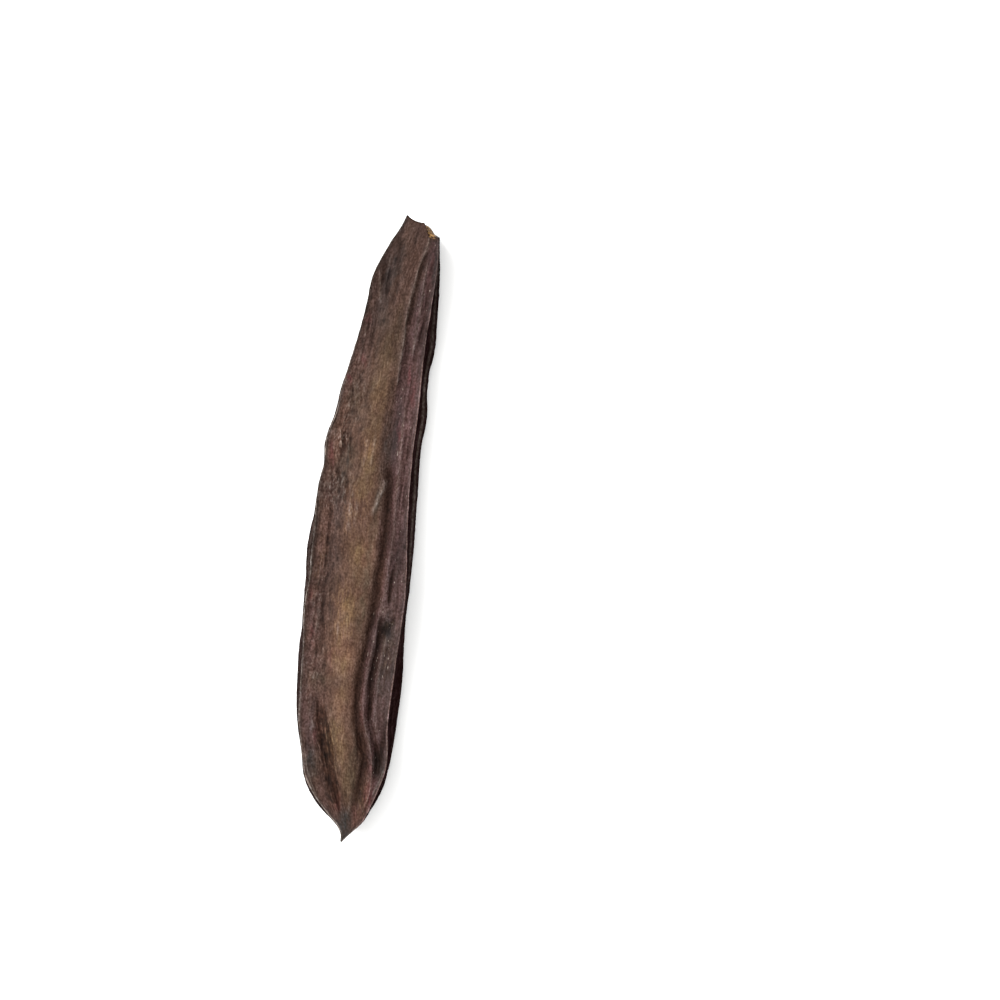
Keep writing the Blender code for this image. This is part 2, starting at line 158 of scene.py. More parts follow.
# Fine creases of the upper face as (path, depth, half-width), with short fades. Creases get painted
# shade by their depth, and ridges, which have negative depth, a painted pale highlight and rubbed
# wear.
UPPER_CREASES = [
    # The pale fold that runs down from the stem, and the dark line beside it
    ([(1, 2.1), (5, 1.6), (8, 0.9), (11, 0.15), (14, -0.15), (18, -0.75), (25, -1.1), (33, -1.2),
      (42, -1.3)], -0.28, 0.32),
    ([(6, 1.9), (10, 1), (14, 0.55), (20, -0.1), (27, -0.5)], 0.16, 0.4),
    # By the stem, left and right of it
    ([(9, -7.9), (13, -8.6), (17, -8.2)], 0.32, 0.5),
    ([(11, -6.6), (15, -7.2), (20, -6.8)], 0.3, 0.45),
    ([(12, -9.6), (17, -9), (22, -8.2)], -0.2, 0.35),
    ([(8, -7.4), (12, -7.6), (16, -7.8)], -0.15, 0.3),
    ([(3, -4.6), (8, -5), (14, -4.6), (22, -5.4)], 0.14, 0.45),
    ([(22, -10.6), (28, -10.6), (36, -11.4)], 0.18, 0.35),
    ([(25, -9), (33, -9.4), (40, -10.6)], 0.14, 0.35),
    ([(25, -11.4), (31, -11.2), (38, -12.3)], -0.14, 0.3),
    ([(30, -8.4), (38, -8), (46, -8.6)], 0.14, 0.4),
    ([(8, 2.2), (16, 2), (24, 1.9), (34, 1.4)], -0.16, 0.35),
    ([(8, 3.6), (14, 3.4), (22, 3.4), (32, 3.2)], 0.24, 0.4),
    ([(22, 0.6), (32, 0.4), (44, 0.2)], 0.16, 0.35),
    ([(30, 2.4), (40, 2.2), (52, 2.3)], 0.14, 0.3),
    # Across the left margin where its skin crumpled
    ([(41, -12.9), (46, -12.2), (51, -11.2)], 0.14, 0.25),
    ([(39, -11), (44, -10.4), (49, -9.4)], 0.12, 0.25),
    ([(44, -14.6), (50, -14.2), (55, -14.9)], 0.14, 0.3),
    ([(53.5, -14.5), (56.5, -13.8), (59.5, -13.2)], -0.42, 0.26),
    ([(54, -12.1), (57, -11.8), (60, -11.2)], -0.2, 0.24),
    ([(54, -13.6), (57.5, -12.9), (61, -12.4)], 0.26, 0.24),
    ([(55, -11.6), (59, -11.1), (63, -10.2)], 0.18, 0.26),
    ([(62, -15.9), (66, -14.9), (70, -14.4)], 0.16, 0.24),
    ([(64, -13.8), (68, -12.6), (72, -12.4)], 0.18, 0.24),
    ([(65, -11.6), (69, -10.4), (73, -10.6)], 0.16, 0.26),
    ([(63, -15.2), (67, -13.6), (71, -13.2)], -0.2, 0.2),
    ([(65, -12.8), (69, -11.4), (73, -11.6)], -0.2, 0.2),
    ([(68, -16.4), (72, -15.9), (76, -16)], -0.16, 0.25),
    ([(70, -14.4), (74, -13.7), (77, -14)], -0.2, 0.22),
    # Streaks in the strip over the seeds
    ([(55, -7.2), (59, -7), (64, -7.2)], -0.1, 0.35),
    ([(54, -5.2), (59, -5.2), (64, -5.4)], -0.12, 0.4),
    ([(55, -8.3), (60, -8), (66, -8.2)], 0.12, 0.35),
    ([(70, -9.4), (75, -9.2), (81, -8.8)], -0.2, 0.38),
    ([(71, -7.4), (75, -7.4), (79, -7.6)], -0.12, 0.3),
    ([(71, -8.3), (75, -8.2), (80, -8)], 0.14, 0.3),
    ([(70, -6.2), (74, -6.3), (78, -6.4)], 0.13, 0.3),
    ([(103, -8.2), (106, -8), (110, -8.1)], -0.12, 0.3),
    ([(103, -7.2), (107, -7), (110, -7)], 0.12, 0.28),
    # The pale fold beside the long furrow
    ([(65, -0.6), (67.5, -1.1), (70, -1.9), (73, -2.7), (76, -3.2)], -0.42, 0.55),
    # Lines of the right margin
    ([(46, 3.7), (56, 3.8), (66, 4.2), (76, 4.9)], 0.18, 0.35),
    ([(46, 1.5), (58, 1.6), (70, 2.2)], -0.08, 0.32),
    ([(50, 2.7), (60, 2.7), (70, 3.2)], 0.18, 0.35),
    ([(72, 2.9), (80, 3.3), (87, 3)], 0.16, 0.35),
    ([(87, 4.1), (91, 4), (95, 4), (99, 4.3)], 0.4, 0.34),
    ([(104, 3.1), (108, 2.6), (112, 2.3), (116, 2.1), (120, 2.1), (124, 2.6), (129, 3)],
     0.36, 0.36),
    ([(90, 5), (94, 4.9), (99, 5.6)], 0.2, 0.35),
    ([(100, 3), (102.5, 2.5), (106, 2.5), (110, 2.4)], 0.45, 0.4),
    ([(100, 6.4), (102.5, 5.4), (105, 4.4)], 0.35, 0.45),
    ([(108, 5.4), (116, 4.6), (125, 5.3), (133, 6.8)], 0.16, 0.4),
    ([(86, 5.4), (94, 6), (101, 6.6)], 0.14, 0.4),
    # Long lines of the left margin
    ([(70, -16.1), (80, -16.3), (90, -16.4)], 0.14, 0.25),
    ([(72, -13.9), (82, -13.7), (92, -13.3)], 0.24, 0.26),
    ([(80, -12.7), (90, -12.5), (98, -12.9), (103, -12.6)], 0.14, 0.3),
    ([(96, -12.6), (101, -12.4), (106, -12.2)], 0.16, 0.36),
    ([(103, -12), (108, -11.6), (114, -11.9)], 0.16, 0.28),
    ([(78, -15.2), (86, -15), (95, -15.3)], 0.12, 0.22),
    ([(84, -14.3), (92, -14.2), (101, -14.6)], 0.12, 0.22),
    ([(82, -16.9), (92, -16.6), (102, -16.3), (112, -16)], 0.14, 0.24),
    ([(108, -13.2), (114, -12.6), (119, -12.8)], 0.18, 0.26),
    ([(97, -14.6), (106, -14.3), (113, -14.8)], 0.14, 0.26),
    ([(100, -13.4), (104, -13.5), (108, -13.6)], -0.22, 0.42),
    ([(84, -11.8), (92, -11.4), (100, -10.8)], 0.16, 0.35),
    ([(110, -10.4), (114, -10.2), (118, -10.9)], 0.18, 0.35),
    # The bundle of dark lines that runs to the beak
    ([(123, -11.2), (127, -10.4), (131, -9.5), (136, -8.2), (142, -6.6), (148, -4.2)],
     0.26, 0.28),
    ([(125, -10.2), (130, -8.8), (135, -7.6), (140, -6.4), (145, -4.9), (150, -2.8)],
     0.34, 0.24),
    ([(127, -8.8), (133, -7), (138, -5.9), (143, -4.6), (148, -3), (153, -1.2)],
     0.34, 0.26),
    ([(131, -7.2), (136, -5.6), (141, -4.6), (146, -3.2), (151, -1.6)], 0.34, 0.24),
    ([(127, -9.9), (132, -9), (137, -7.4), (141, -5.9)], 0.28, 0.2),
    ([(133, -8.9), (139, -7), (145, -4.3), (149, -2.4)], 0.3, 0.22),
    ([(133, -6.5), (139, -5.3), (144, -3.8)], 0.3, 0.2),
    ([(145, -4.2), (149, -2.7), (154, -0.8)], 0.4, 0.42),
    ([(130, -8.2), (134, -7.2), (138, -6.5)], -0.16, 0.2),
    ([(135, -8.3), (140, -6.7), (144, -5.3)], -0.16, 0.2),
    ([(128, -11.9), (133, -11), (139, -9.6)], -0.14, 0.5),
    ([(137, -12.5), (143, -10.8), (148, -8.4), (153, -4.9)], -0.34, 0.26),
    # Beside the beak, on the right
    ([(125, 1), (130, 2.2), (134, 3.9), (138, 5.2)], -0.2, 0.35),
    ([(127, 7.2), (133, 7.3), (140, 7)], 0.3, 0.5),
    ([(133, 5.1), (137, 6.3), (142, 7)], 0.3, 0.4),
    ([(137, 5), (142, 5.5), (147, 5.5), (152, 4.2)], -0.2, 0.4),
    ([(146, 6.2), (150, 5.3), (154, 3.9)], 0.2, 0.24),
    ([(145, 4.4), (149, 4.2), (154, 2.9)], 0.18, 0.24),
    ([(139, 8.6), (144, 7.4), (148, 6)], -0.3, 0.26),
    ([(146, 0.9), (150, 1), (155, 0.6)], -0.1, 0.35),
    ([(142, -1.4), (147, -0.6), (152, 0.1)], 0.16, 0.28),
    ([(130, 0.2), (136, 1.2), (142, 1.2)], 0.2, 0.3),
]
LOWER_CREASES = [
    ([(30, -6.4), (50, -8.2), (70, -8.8)], 0.22, 0.4),
    ([(88, -7.6), (104, -8), (122, -7.2)], 0.24, 0.4),
    ([(52, 5.6), (70, 6), (86, 6.6)], 0.22, 0.35),
    ([(96, -3), (112, -3.4), (130, -1.2), (146, 0.8)], 0.22, 0.4),
    ([(20, -2.6), (38, -4), (58, -4.4)], 0.2, 0.4),
    ([(118, -13.4), (130, -11.4), (141, -8.8)], 0.26, 0.35),
]
CREASE_FADE = 2.5
# The depth of a crease whose painted shade is wholly dark
FOLD_DEPTH = 0.7

# Dents and swellings of the upper face as (station, offset, half-length, half-width, depth)
UPPER_DENTS = [
    (104.2, 3.9, 2.2, 1.7, 0.7), (141, 6.6, 2.4, 0.9, 0.45), (99.6, 3.6, 2, 1.8, -0.4),
    (120.5, -11.6, 3.2, 3, 0.3), (117.5, -8.3, 1.6, 1.2, 0.2), (135, 7.2, 5.5, 1.6, 0.7),
    (72, -6.4, 3, 4.2, -0.18), (53, -6, 4, 3.4, 0.15), (18, -8.8, 5, 1.6, 0.2),
    (87, -15.5, 8, 1.4, 0.25), (109, -15.2, 7, 1.2, 0.2), (118, 5.6, 6, 1.6, 0.25),
    (34, -4.4, 5, 2.6, 0.12), (92, -3.2, 6, 1.8, 0.15),
]

# The golden strip over the seeds: its left and right limits, as (station, offset)
GOLD_LEFT = [
    (-3, -2), (15, -5.4), (25, -8), (40, -9.6), (55, -11.8), (66, -11.2), (80, -10.4), (110, -10.2),
    (118, -8.8), (128, -8.4), (138, -6.8), (147, -4), (160, -1),
]
GOLD_RIGHT = [
    (-3, 2), (8, 0.4), (25, -1.9), (40, -2.6), (57, -3), (70, -2.2), (80, -1), (96, -1),
    (112, -1.5), (124, -1.4), (131, 0.2), (140, 1.8), (148, 2.2), (160, 0.8),
]
# How golden it is on the whole, as (station, share)
GOLD_LEVEL = [
    (-3, 0.1), (15, 0.35), (25, 0.5), (35, 0.75), (45, 0.9), (58, 1), (110, 1), (128, 0.95),
    (138, 0.9), (147, 0.8), (154, 0.2),
]
# How light the skin is on the whole, as (station, share more than in the middle)
TONE = [
    (-3, -0.34), (10, -0.31), (24, -0.27), (36, -0.11), (50, 0), (66, 0), (76, -0.04), (132, -0.02),
    (143, -0.13), (160, -0.23),
]
# Where that strip is yellowest, as (station, offset, half-length, half-width, share)
GILT_PATCHES = [
    (24, -3, 5, 1.4, 0.6), (33, -5, 6, 1.8, 0.7), (43, -6.4, 5, 2.2, 0.7),
    (53, -5.6, 4.5, 2.2, 0.7), (62.5, -5.8, 4.5, 2, 1), (69, -7.4, 2.5, 2.4, 0.7),
    (85.5, -5.8, 3.6, 1.9, 0.9), (91, -5, 3, 1.8, 0.5), (100.5, -6, 4, 2, 0.9),
    (107.5, -7.4, 3, 2, 0.4), (114.8, -5.4, 2.4, 1.8, 0.8), (122, -4.8, 4, 1.8, 0.5),
    (131, -5.4, 3, 1.6, 1), (137, -3.9, 4, 2.4, 0.9), (145, -0.6, 5, 1.8, 1),
    (136, -7.2, 4, 1.6, 0.8), (142, 2, 6, 1.4, 0.6), (45, -3.6, 6, 1, 0.5),
]
# Where the skin is greenest
OLIVE_PATCHES = [
    (61, -10.6, 3.6, 2.4, 0.6), (88, -2.4, 14, 1, 0.7), (101, -2.6, 5, 1.2, 0.6),
    (47, -11.6, 6, 2.6, 0.7), (34, -5.6, 9, 2.4, 0.45), (66, -12, 5, 1.6, 0.5),
    (119, -11.4, 2, 3, 0.7), (127, -7.2, 4, 1.2, 0.4), (138, 0.2, 6, 1.4, 0.7),
    (146, 1.2, 4, 1, 0.5), (143, -9, 4, 1.4, 0.5), (70, -2.4, 6, 0.9, 0.5),
    (32, -2.4, 14, 0.9, 0.4), (150, 3, 3, 1, 0.4),
]
# Where the skin is reddest
RUSTY_PATCHES = [
    (50, -13.8, 5, 1.6, 0.7), (61, -14.8, 3, 1.4, 0.7), (57, -8.6, 4, 1.6, 0.6),
    (104, -9.4, 5, 1.2, 0.5), (147, 4.6, 6, 1.5, 1), (152, 2.8, 4, 1.6, 0.9),
    (118, -1.8, 8, 0.9, 0.8), (148, -2.6, 4, 1.2, 0.9), (144, -8, 4, 1.6, 0.4),
    (136, 2.4, 4, 1, 0.6), (70, -10, 3, 2, 0.4), (10, -1, 6, 2, 0.4), (92, -14.2, 6, 1, 0.15),
    (40, -3, 4, 1.2, 0.5), (130, -8.8, 4, 1.2, 0.5),
]
# Small spots where the skin is dark red
RUDDY_PATCHES = [
    (41.5, -13.7, 0.7, 0.5, 0.9), (43.5, 3, 3, 0.6, 0.5), (38, 1.2, 3, 0.4, 0.5),
    (54, 0.7, 2.5, 0.4, 0.6), (60.5, -15.9, 2.5, 0.7, 0.6), (97.5, -16.5, 2.5, 0.6, 0.5),
    (25, -11.3, 1.4, 0.8, 0.6), (36, -10.8, 1.2, 0.5, 0.5), (107, -14.6, 2, 0.6, 0.4),
    (138, 5.2, 3, 0.5, 0.6), (113, -9, 2.4, 0.8, 0.3), (133, -10.4, 3, 0.5, 0.4),
    (148, 5.2, 6, 1.2, 0.4), (153, 2.8, 3, 1.2, 0.35), (126, 1.2, 6, 0.8, 0.2),
    (150.5, -2.2, 2.6, 0.9, 0.5), (145, 5.6, 5, 0.6, 0.4), (10, 3.4, 6, 1, 0.2),
]
# Where it is bluish grey. The patch at station 57 lies in the broad furrow, where its grey is
# painted shade.
SLATE_PATCHES = [
    (116, 5, 14, 2.8, 0.5), (104, 4, 3, 1.6, 0.5), (57, -1.6, 8, 1.4, 0.5), (140, 7.6, 4, 1.4, 0.7),
    (153.5, 0.2, 3, 1.6, 0.7), (71, -2.2, 3, 0.8, 0.4), (138, 6.4, 2.5, 0.9, 0.6),
    (90, 5.2, 8, 2, 0.2), (140.5, -10.4, 3.5, 1.6, 0.7), (130, -11.8, 5, 1.4, 0.4),
    (13, -7.6, 5, 1.6, 0.4), (24, -9, 6, 2, 0.3),
]
# Where fine pale streaks run along it
STREAKED_PATCHES = [
    (101, -7.2, 6, 2.6, 1), (58.5, -6.6, 4.5, 2, 0.8), (75.5, -8.6, 6, 2, 1),
    (73, -4.6, 5, 1.6, 0.4), (114, -8.4, 4, 1.6, 0.5), (108, -4.4, 5, 1.2, 0.5),
    (44, -6, 5, 1.6, 0.3), (93, -9.4, 5, 1.4, 0.4), (132, -4.4, 5, 1.8, 0.4),
    (150, 4.2, 5, 1.4, 0.6), (88, -15.2, 8, 1.2, 0.3), (109, 5.4, 10, 2, 0.3),
]
# Where it is crumpled and scratched
SCRATCHED_PATCHES = [
    (69.5, -13.2, 4.5, 4, 0.9), (57, -13.4, 3.5, 2, 0.8), (46, -12, 7, 3, 0.55),
    (116, -13, 6, 2, 0.6), (96, -14, 10, 2, 0.5), (76, -8.6, 4, 1.2, 0.3), (143, -8.6, 4, 1.6, 0.4),
    (109, 6.4, 6, 1.4, 0.3), (64, 2.6, 12, 0.8, 0.35),
]
# Where the bundle of dark lines runs, the station where it starts, and how far it moves across
# the pod for each step along it
BUNDLE_PATCHES = [
    (129, -9.4, 4, 1.9, 1), (135, -7.4, 4, 2.1, 1.2), (141, -5.6, 4, 1.9, 1.2),
    (147, -3.5, 4, 1.5, 1), (133, 1, 5, 1.2, 0.5), (140, 3, 5, 1.6, 0.5),
]
BUNDLE_START = 128
BUNDLE_SLANT = 0.39
# Where the margins and the strip turn mauve
MAUVE_PATCHES = [
    (83, -15.2, 9, 1.3, 0.15), (131, -11.8, 4.5, 1.4, 0.6), (75.5, -4.8, 4, 1.8, 0.4),
    (99, -10.8, 6, 1, 0.2), (113, -14.6, 8, 1.2, 0.3), (72, -15, 3, 1.6, 0.3),
    (140, 5.4, 4, 0.9, 0.4), (12, -7.4, 6, 1.6, 0.5), (47, -14, 5, 1.4, 0.3),
    (137, -11.4, 8, 1.3, 0.5), (126, -14, 6, 1.4, 0.4), (100, -15, 8, 1.2, 0.3),
]
# Lighter and darker patches of the skin: partly its own tone, and partly painted light and shade,
# darker in furrows and hollows and lighter on flanks that face away from the light
BRIGHT_PATCHES = [
    (15, -2.8, 6, 1.4, 0.15), (42, -5.2, 4.5, 1.8, 0.1), (59.5, -6, 3, 1.4, 0.18),
    (76, -9.2, 5, 1.4, 0.1), (83, -3, 5, 1.6, 0.2), (87, -4.6, 4.5, 2.4, 0.3),
    (61, -11, 9, 3.4, -0.05), (92, -12, 16, 3, -0.1), (18, 3.2, 9, 1.1, 0.18),
    (50, -13.5, 14, 1.6, 0.15), (9, -5.6, 6, 2.6, -0.12), (82, 5.6, 8, 1.1, -0.3),
    (86, -16.8, 16, 0.8, -0.2), (141, -10, 4, 1.4, -0.15), (106, 5.6, 2, 1.2, -0.25),
    (106, 8.1, 16, 0.8, -0.35), (54, 0.1, 8, 1, -0.62), (151, 4.2, 4, 1.2, -0.2),
    (106, 1, 6, 0.8, -0.25), (138, 4.4, 2.5, 0.9, -0.2), (67, -15.6, 6, 1, -0.15),
    (99.5, -7.4, 4, 2, 0.25), (108, -7.2, 4, 2.4, 0.35), (114.5, -5, 4.5, 2.2, 0.4),
    (124.5, -5.2, 5.5, 2, 0.3), (134, -3.6, 4, 1.6, 0.25), (140, -2.6, 4, 1.6, 0.25),
    (56.5, -13.8, 4, 1.2, 0.55), (84, -15.3, 9, 1.3, 0.2), (67, -2.6, 3, 0.8, -0.1),
    (76, -12, 20, 1.4, -0.28), (94, -9.9, 12, 1.4, -0.25), (24, -7.2, 6, 1.8, -0.22),
    (44, -8.2, 8, 1.6, -0.2), (66, -8.5, 3, 3, -0.22), (119, -6, 2, 4, -0.12),
    (106, -10.4, 8, 1.4, -0.15), (60, -10.8, 4, 2, -0.2), (83, 1.6, 8, 0.8, -0.15),
    (116.5, -13.4, 8, 0.9, 0.25), (14, -7.6, 4, 1.2, -0.3), (71, -2, 2.4, 0.7, 0.2),
    (10, -5, 6, 1.6, -0.2), (114, 7, 3, 0.8, -0.3), (70, -13.4, 3, 2, -0.2),
    (104.3, 4.3, 2.2, 1.7, -0.5), (109, 2.6, 3.5, 0.7, -0.3), (118, 2.1, 5, 0.6, -0.3),
    (136, 6.8, 5, 1.4, -0.25), (24, 4.6, 16, 1.3, -0.3), (8, 4.2, 6, 1.2, -0.25),
    (109, 5.2, 9, 2, -0.3), (84, 4.6, 7, 1, -0.25), (58, 2.6, 14, 0.9, 0.15),
    (93, 2.4, 8, 0.9, 0.15), (52, -9.6, 6, 2, -0.1), (119, -10.4, 3, 2.4, -0.15),
    (130, 7.6, 3, 0.8, -0.3), (150, 2.8, 3, 0.8, -0.15), (18, -10.2, 7, 1.2, 0.15),
    (129.5, -10.6, 3, 1, 0.5), (48, -15.1, 4, 1, 0.3), (76, -15, 6, 1.2, 0.15),
    (28, 0.1, 11, 0.9, 0.2), (36, 1.6, 3, 0.8, 0.15), (73, -3.6, 3, 1.4, -0.12),
    (118, -7.5, 3, 1.5, -0.12), (83, -1.5, 9, 0.9, 0.32), (91, 1.2, 7, 1, 0.34),
    (84, -3, 4, 1, 0.14), (82, -10.6, 4, 1, 0.2), (112, -3.8, 3, 1.4, 0.16),
    (132, 1.5, 3, 0.8, 0.2), (36, -13.3, 4, 0.8, 0.2), (78, -15.1, 7, 1, 0.18),
    (26, -11.9, 3, 0.8, -0.15), (26, -7.5, 2, 1, -0.15), (68, 7.2, 5, 0.8, 0.3),
]
# The purple-grey band of the right margin: its left limit, as (station, offset)
PLUM_LEFT = [
    (-3, 2.6), (10, 0.8), (25, -1), (36, -2), (50, -2.2), (60, -1.6), (70, -0.4), (80, 0.4),
    (96, 0.6), (106, -0.7), (118, -1.2), (126, -0.4), (132, 1.3), (143, 3.8), (150, 3.6), (160, 2),
]

# How finely the skin is divided
UPPER_CELLS = 124
LOWER_CELLS = 62
WALL_CELLS = 26
STATION_STEPS = [(0, 14), (4, 30), (16, 294), (142, 28), (152, 28)]
SCAR_RINGS = (0.93, 0.84, 0.74, 0.62, 0.5, 0.37, 0.24, 0.11)
# The flow's width goes from the nominal one towards the pod's own by this share, and its walls
# bulge by a share of that
NOMINAL_WIDTH = 26.0
TRUE_WIDTH_SHARE = 0.65
FLOW_BULGE = 0.06
# The bare seam is the part of a wall where the wall's mask is over this
SEAM_WALL = 0.5
# How many times heights are averaged to give the close and the wide surroundings of a point,
# and the depths below them, in millimetres, of a hollow and a crease whose painted shade is wholly
# dark
CLOSE_PASSES, WIDE_PASSES = 10, 220
HOLLOW_DEPTH, CREASE_DEPTH = 1.3, 0.4
# The offsets between which the stem end shows torn fibres
TORN_FROM, TORN_TO = 0.1, 3.5
# What a hollow's colour is multiplied by for its painted shade, in red, green and blue
DEEP_SHADE = (0.36, 0.27, 0.24)
HUSK_GLOSS = 0.1
# The grain darkens green and blue more than red, so that dark grains are not greyer
GRAIN_POWERS = (1, 1.2, 1.4)
# The painted highlight along the seam's lip on the walls: how far down it lies and its half-width,
# as shares of the wall, and how strong it is, as (station, share)
LIP_OF_WALL = 0.41
LIP_WIDTH = 0.04
WALL_LIP_HIGHLIGHT = [(-3, 0.16), (88, 0.16), (102, 0.04), (160, 0.03)]
# The painted highlight along a rim's crest: how far in it lies, its half-width on the face and on
# the wall
CREST_INSET, CREST_WIDTH, CREST_DROP = 0.1, 0.26, 0.25
# How strong that highlight is on the right, and on the left as (station, share)
RIGHT_RIM_HIGHLIGHT = 0.7
LEFT_RIM_HIGHLIGHT = [
    (-3, 0.2), (30, 0.3), (45, 0.8), (60, 0.8), (72, 0.6), (84, 1.2), (125, 1), (134, 1.3),
    (142, 2.3), (152, 2.4), (160, 0.3),
]

# Where the pod lies in the photograph, in pixels of its 1000 by 1000 frame
IMAGE_SIZE = 1000.0
STEM_PIXEL = (424.0, 228.0)
BEAK_PIXEL = (341.2, 841.5)
SENSOR_WIDTH = 36.0
FOCUS_HEIGHT = 6.0


def linear(hex_colour):
    """Turns an sRGB hex colour into linear red, green and blue."""
    levels = [int(hex_colour[i : i + 2], 16) / 255 for i in (1, 3, 5)]
    return tuple(v / 12.92 if v <= 0.04045 else ((v + 0.055) / 1.055) ** 2.4 for v in levels)


def colour_setting(name, description, hex_colour):
    """A colour that a user may change, with its default from a hex value."""
    return bpy.props.FloatVectorProperty(
        name=name, description=description, subtype="COLOR", size=3, min=0.0, max=1.0,
        default=linear(hex_colour),
    )


def length_setting(name, description, millimetres, largest):
    """A length that a user may change, with its default and limit in millimetres."""
    return bpy.props.FloatProperty(
        name=name, description=description, subtype="DISTANCE", unit="LENGTH", precision=5,
        min=0.0, max=largest * MM, default=millimetres * MM,
    )


class CarobSkinSettings(bpy.types.PropertyGroup):
    """Depths of the skin's fine relief."""

    lump_height: length_setting("Lumps", "Height of the soft unevenness of the skin", 0.17, 1.0)
    wrinkle_depth: length_setting("Wrinkles", "Depth of the long fine wrinkles", 0.11, 1.0)
    net_depth: length_setting("Net", "Depth of the crossing wrinkles on the left margin", 0.16, 1.0)
    fibre_depth: length_setting("Fibres", "Depth of the finest fibres, as bump", 0.03, 0.5)
    seed: bpy.props.IntProperty(
        name="Seed", description="Starting number of the skin's random pattern", default=7, min=0
    )


class CarobColourSettings(bpy.types.PropertyGroup):
    """Colours of the husk, among them those of its painted shade and highlights."""

    margin: colour_setting("Margin", "Brown of the left margin", "#49362e")
    rust: colour_setting("Rust", "Red brown of the strip over the seeds", "#4c362c")
    gold: colour_setting("Gold", "Yellow brown of that strip's patches", "#52402d")
    olive: colour_setting("Olive", "Green brown beside that strip", "#403529")
    plum: colour_setting("Plum", "Purple grey of the right margin", "#43302f")
    # Near black of the painted shade in furrows, creases and hollows, and of the painted shadow
    # line at the stem end's edge; the scar's pores use it too
    furrow: colour_setting("Furrow", "Near black of the furrows", "#27170f")
    slate: colour_setting("Slate", "Grey of the beak and the margins' outer edge", "#322e2c")
    ruddy: colour_setting("Ruddy", "Dark red of small spots", "#58262a")
    # The rim colour is a painted highlight along the rims' crests, the walls' lips, ridges and
    # raised parts, and also the real pale of scratches
    rim: colour_setting("Rim", "Worn grey of the left rim's crest", "#857a73")
    # A painted highlight along the crests of the right rim and of the mauve patches
    pinkish_highlight: colour_setting("Worn", "Worn pinkish grey of the right rim's crest", "#876c69")
    # Mostly painted shade: the near black of the side walls, over the dark brown skin there
    wall: colour_setting("Wall", "Black brown of the side walls", "#180c0d")
    scar: colour_setting("Scar", "Tan of the torn fibres at the stem", "#80623d")
    fleck: colour_setting("Fleck", "Pale dry flecks", "#978a80")
    straw: colour_setting("Straw", "Tan of the fine streaks", "#84694b")


class CarobStageSettings(bpy.types.PropertyGroup):
    """Camera, light and floor."""

    camera_height: bpy.props.FloatProperty(
        name="Camera height", description="Height of the camera above the floor",
        subtype="DISTANCE", unit="LENGTH", min=0.2, max=5.0, default=0.9,
    )
    key_power: bpy.props.FloatProperty(
        name="Key light", description="Power of the large soft light at the upper left, in watts",
        unit="POWER", min=0.0, max=500.0, default=24.0,
    )
    zenith: bpy.props.FloatProperty(
        name="Zenith", description="Strength of the even light from straight above", min=0.0,
        max=5.0, default=1.7,
    )
    horizon: bpy.props.FloatProperty(
        name="Horizon", description="Strength of the even light from the sides", min=0.0,
        max=5.0, default=0.75,
    )
    floor: colour_setting("Floor", "Colour of the plain floor", "#f4f4f3")


def through(points, x):
    """The height at x of a smooth curve through (x, y) points: a cubic between each two."""
    xs, ys = np.array(points, float).T
    slopes = np.gradient(ys, xs)
    i = np.clip(np.searchsorted(xs, x) - 1, 0, len(xs) - 2)
    step = xs[i + 1] - xs[i]
    t = np.clip((x - xs[i]) / step, 0, 1)
    return (
        (2 * t**3 - 3 * t**2 + 1) * ys[i]
        + (t**3 - 2 * t**2 + t) * step * slopes[i]
        + (3 * t**2 - 2 * t**3) * ys[i + 1]
        + (t**3 - t**2) * step * slopes[i + 1]
    )


def ease(t):
    """Rises smoothly from 0 to 1 as t does: 3 t squared less 2 t cubed."""
    t = np.clip(t, 0, 1)
    return t * t * (3 - 2 * t)


def bump_of(across):
    """A bell curve: 1 at 0, falling off as e to the power of minus the square."""
    return np.exp(-(across**2))


def furrow(station, offset, path, depth, width, fade):
    """A rounded groove along a path: a bell curve across it, faded out over its two ends."""
    first, last = path[0][0], path[-1][0]
    ends = ease((station - first) / fade) * ease((last - station) / fade)
    return -depth * ends * bump_of((offset - through(path, station)) / width)


def dent(station, offset, at, across, half_length, half_width, depth):
    """A round hollow: a bell curve both along and across, of that depth in the middle."""
    reach = ((station - at) / half_length) ** 2 + ((offset - across) / half_width) ** 2
    return -depth * np.exp(-reach)


def relief(station, offset, left, right, swell, furrows):
    """How far a broad face stands out from the level of its rims.

    It is a dish between the rims, plus a bell curve of seeds down the middle with a wave for
    each seed, plus the furrows, plus a low lip at both rims.
    """
    share = np.clip((offset - left) / (right - left), 0, 1)
    height = -through(DISH, station) * (4 * share * (1 - share)) ** 0.6
    seeds = 1 + SEED_SWELL * np.cos(2 * math.pi * station / SEED_SPACING)
    across = (offset - through(SWELL_LINE, station)) / through(SWELL_WIDTH, station)
    height += through(swell, station) * seeds * bump_of(across)
    for path, depth, width in furrows:
        height += furrow(station, offset, path, depth, width, FURROW_FADE)
    for rim in (left, right):
        height += RIM_LIP_HEIGHT * bump_of((offset - rim) / RIM_LIP_WIDTH)
    return height


def wall_offset(share, upper_rim, edge, lower_rim):
    """How far across a margin's wall lies, from the upper rim at share 0 to the lower at 1.

    It eases out from the rim to the pod's edge, less a squared sine for the suture's groove,
    and tucks in below it along a parabola.
    """
    above = np.clip(share / WIDEST_OF_WALL, 0, 1)
    below = np.clip((share - WIDEST_OF_WALL) / (1 - WIDEST_OF_WALL), 0, 1)
    inwards = np.sign(upper_rim + lower_rim - 2 * edge)
    groove = SUTURE_GROOVE * np.sin(math.pi * above) ** 2
    slim = np.clip(np.abs(upper_rim - edge) + RIM_TUCK, 0, 1)
    return (
        upper_rim
        + (edge - upper_rim) * ease(above)
        + (lower_rim - edge) * below**2
        + inwards * groove * slim
    )


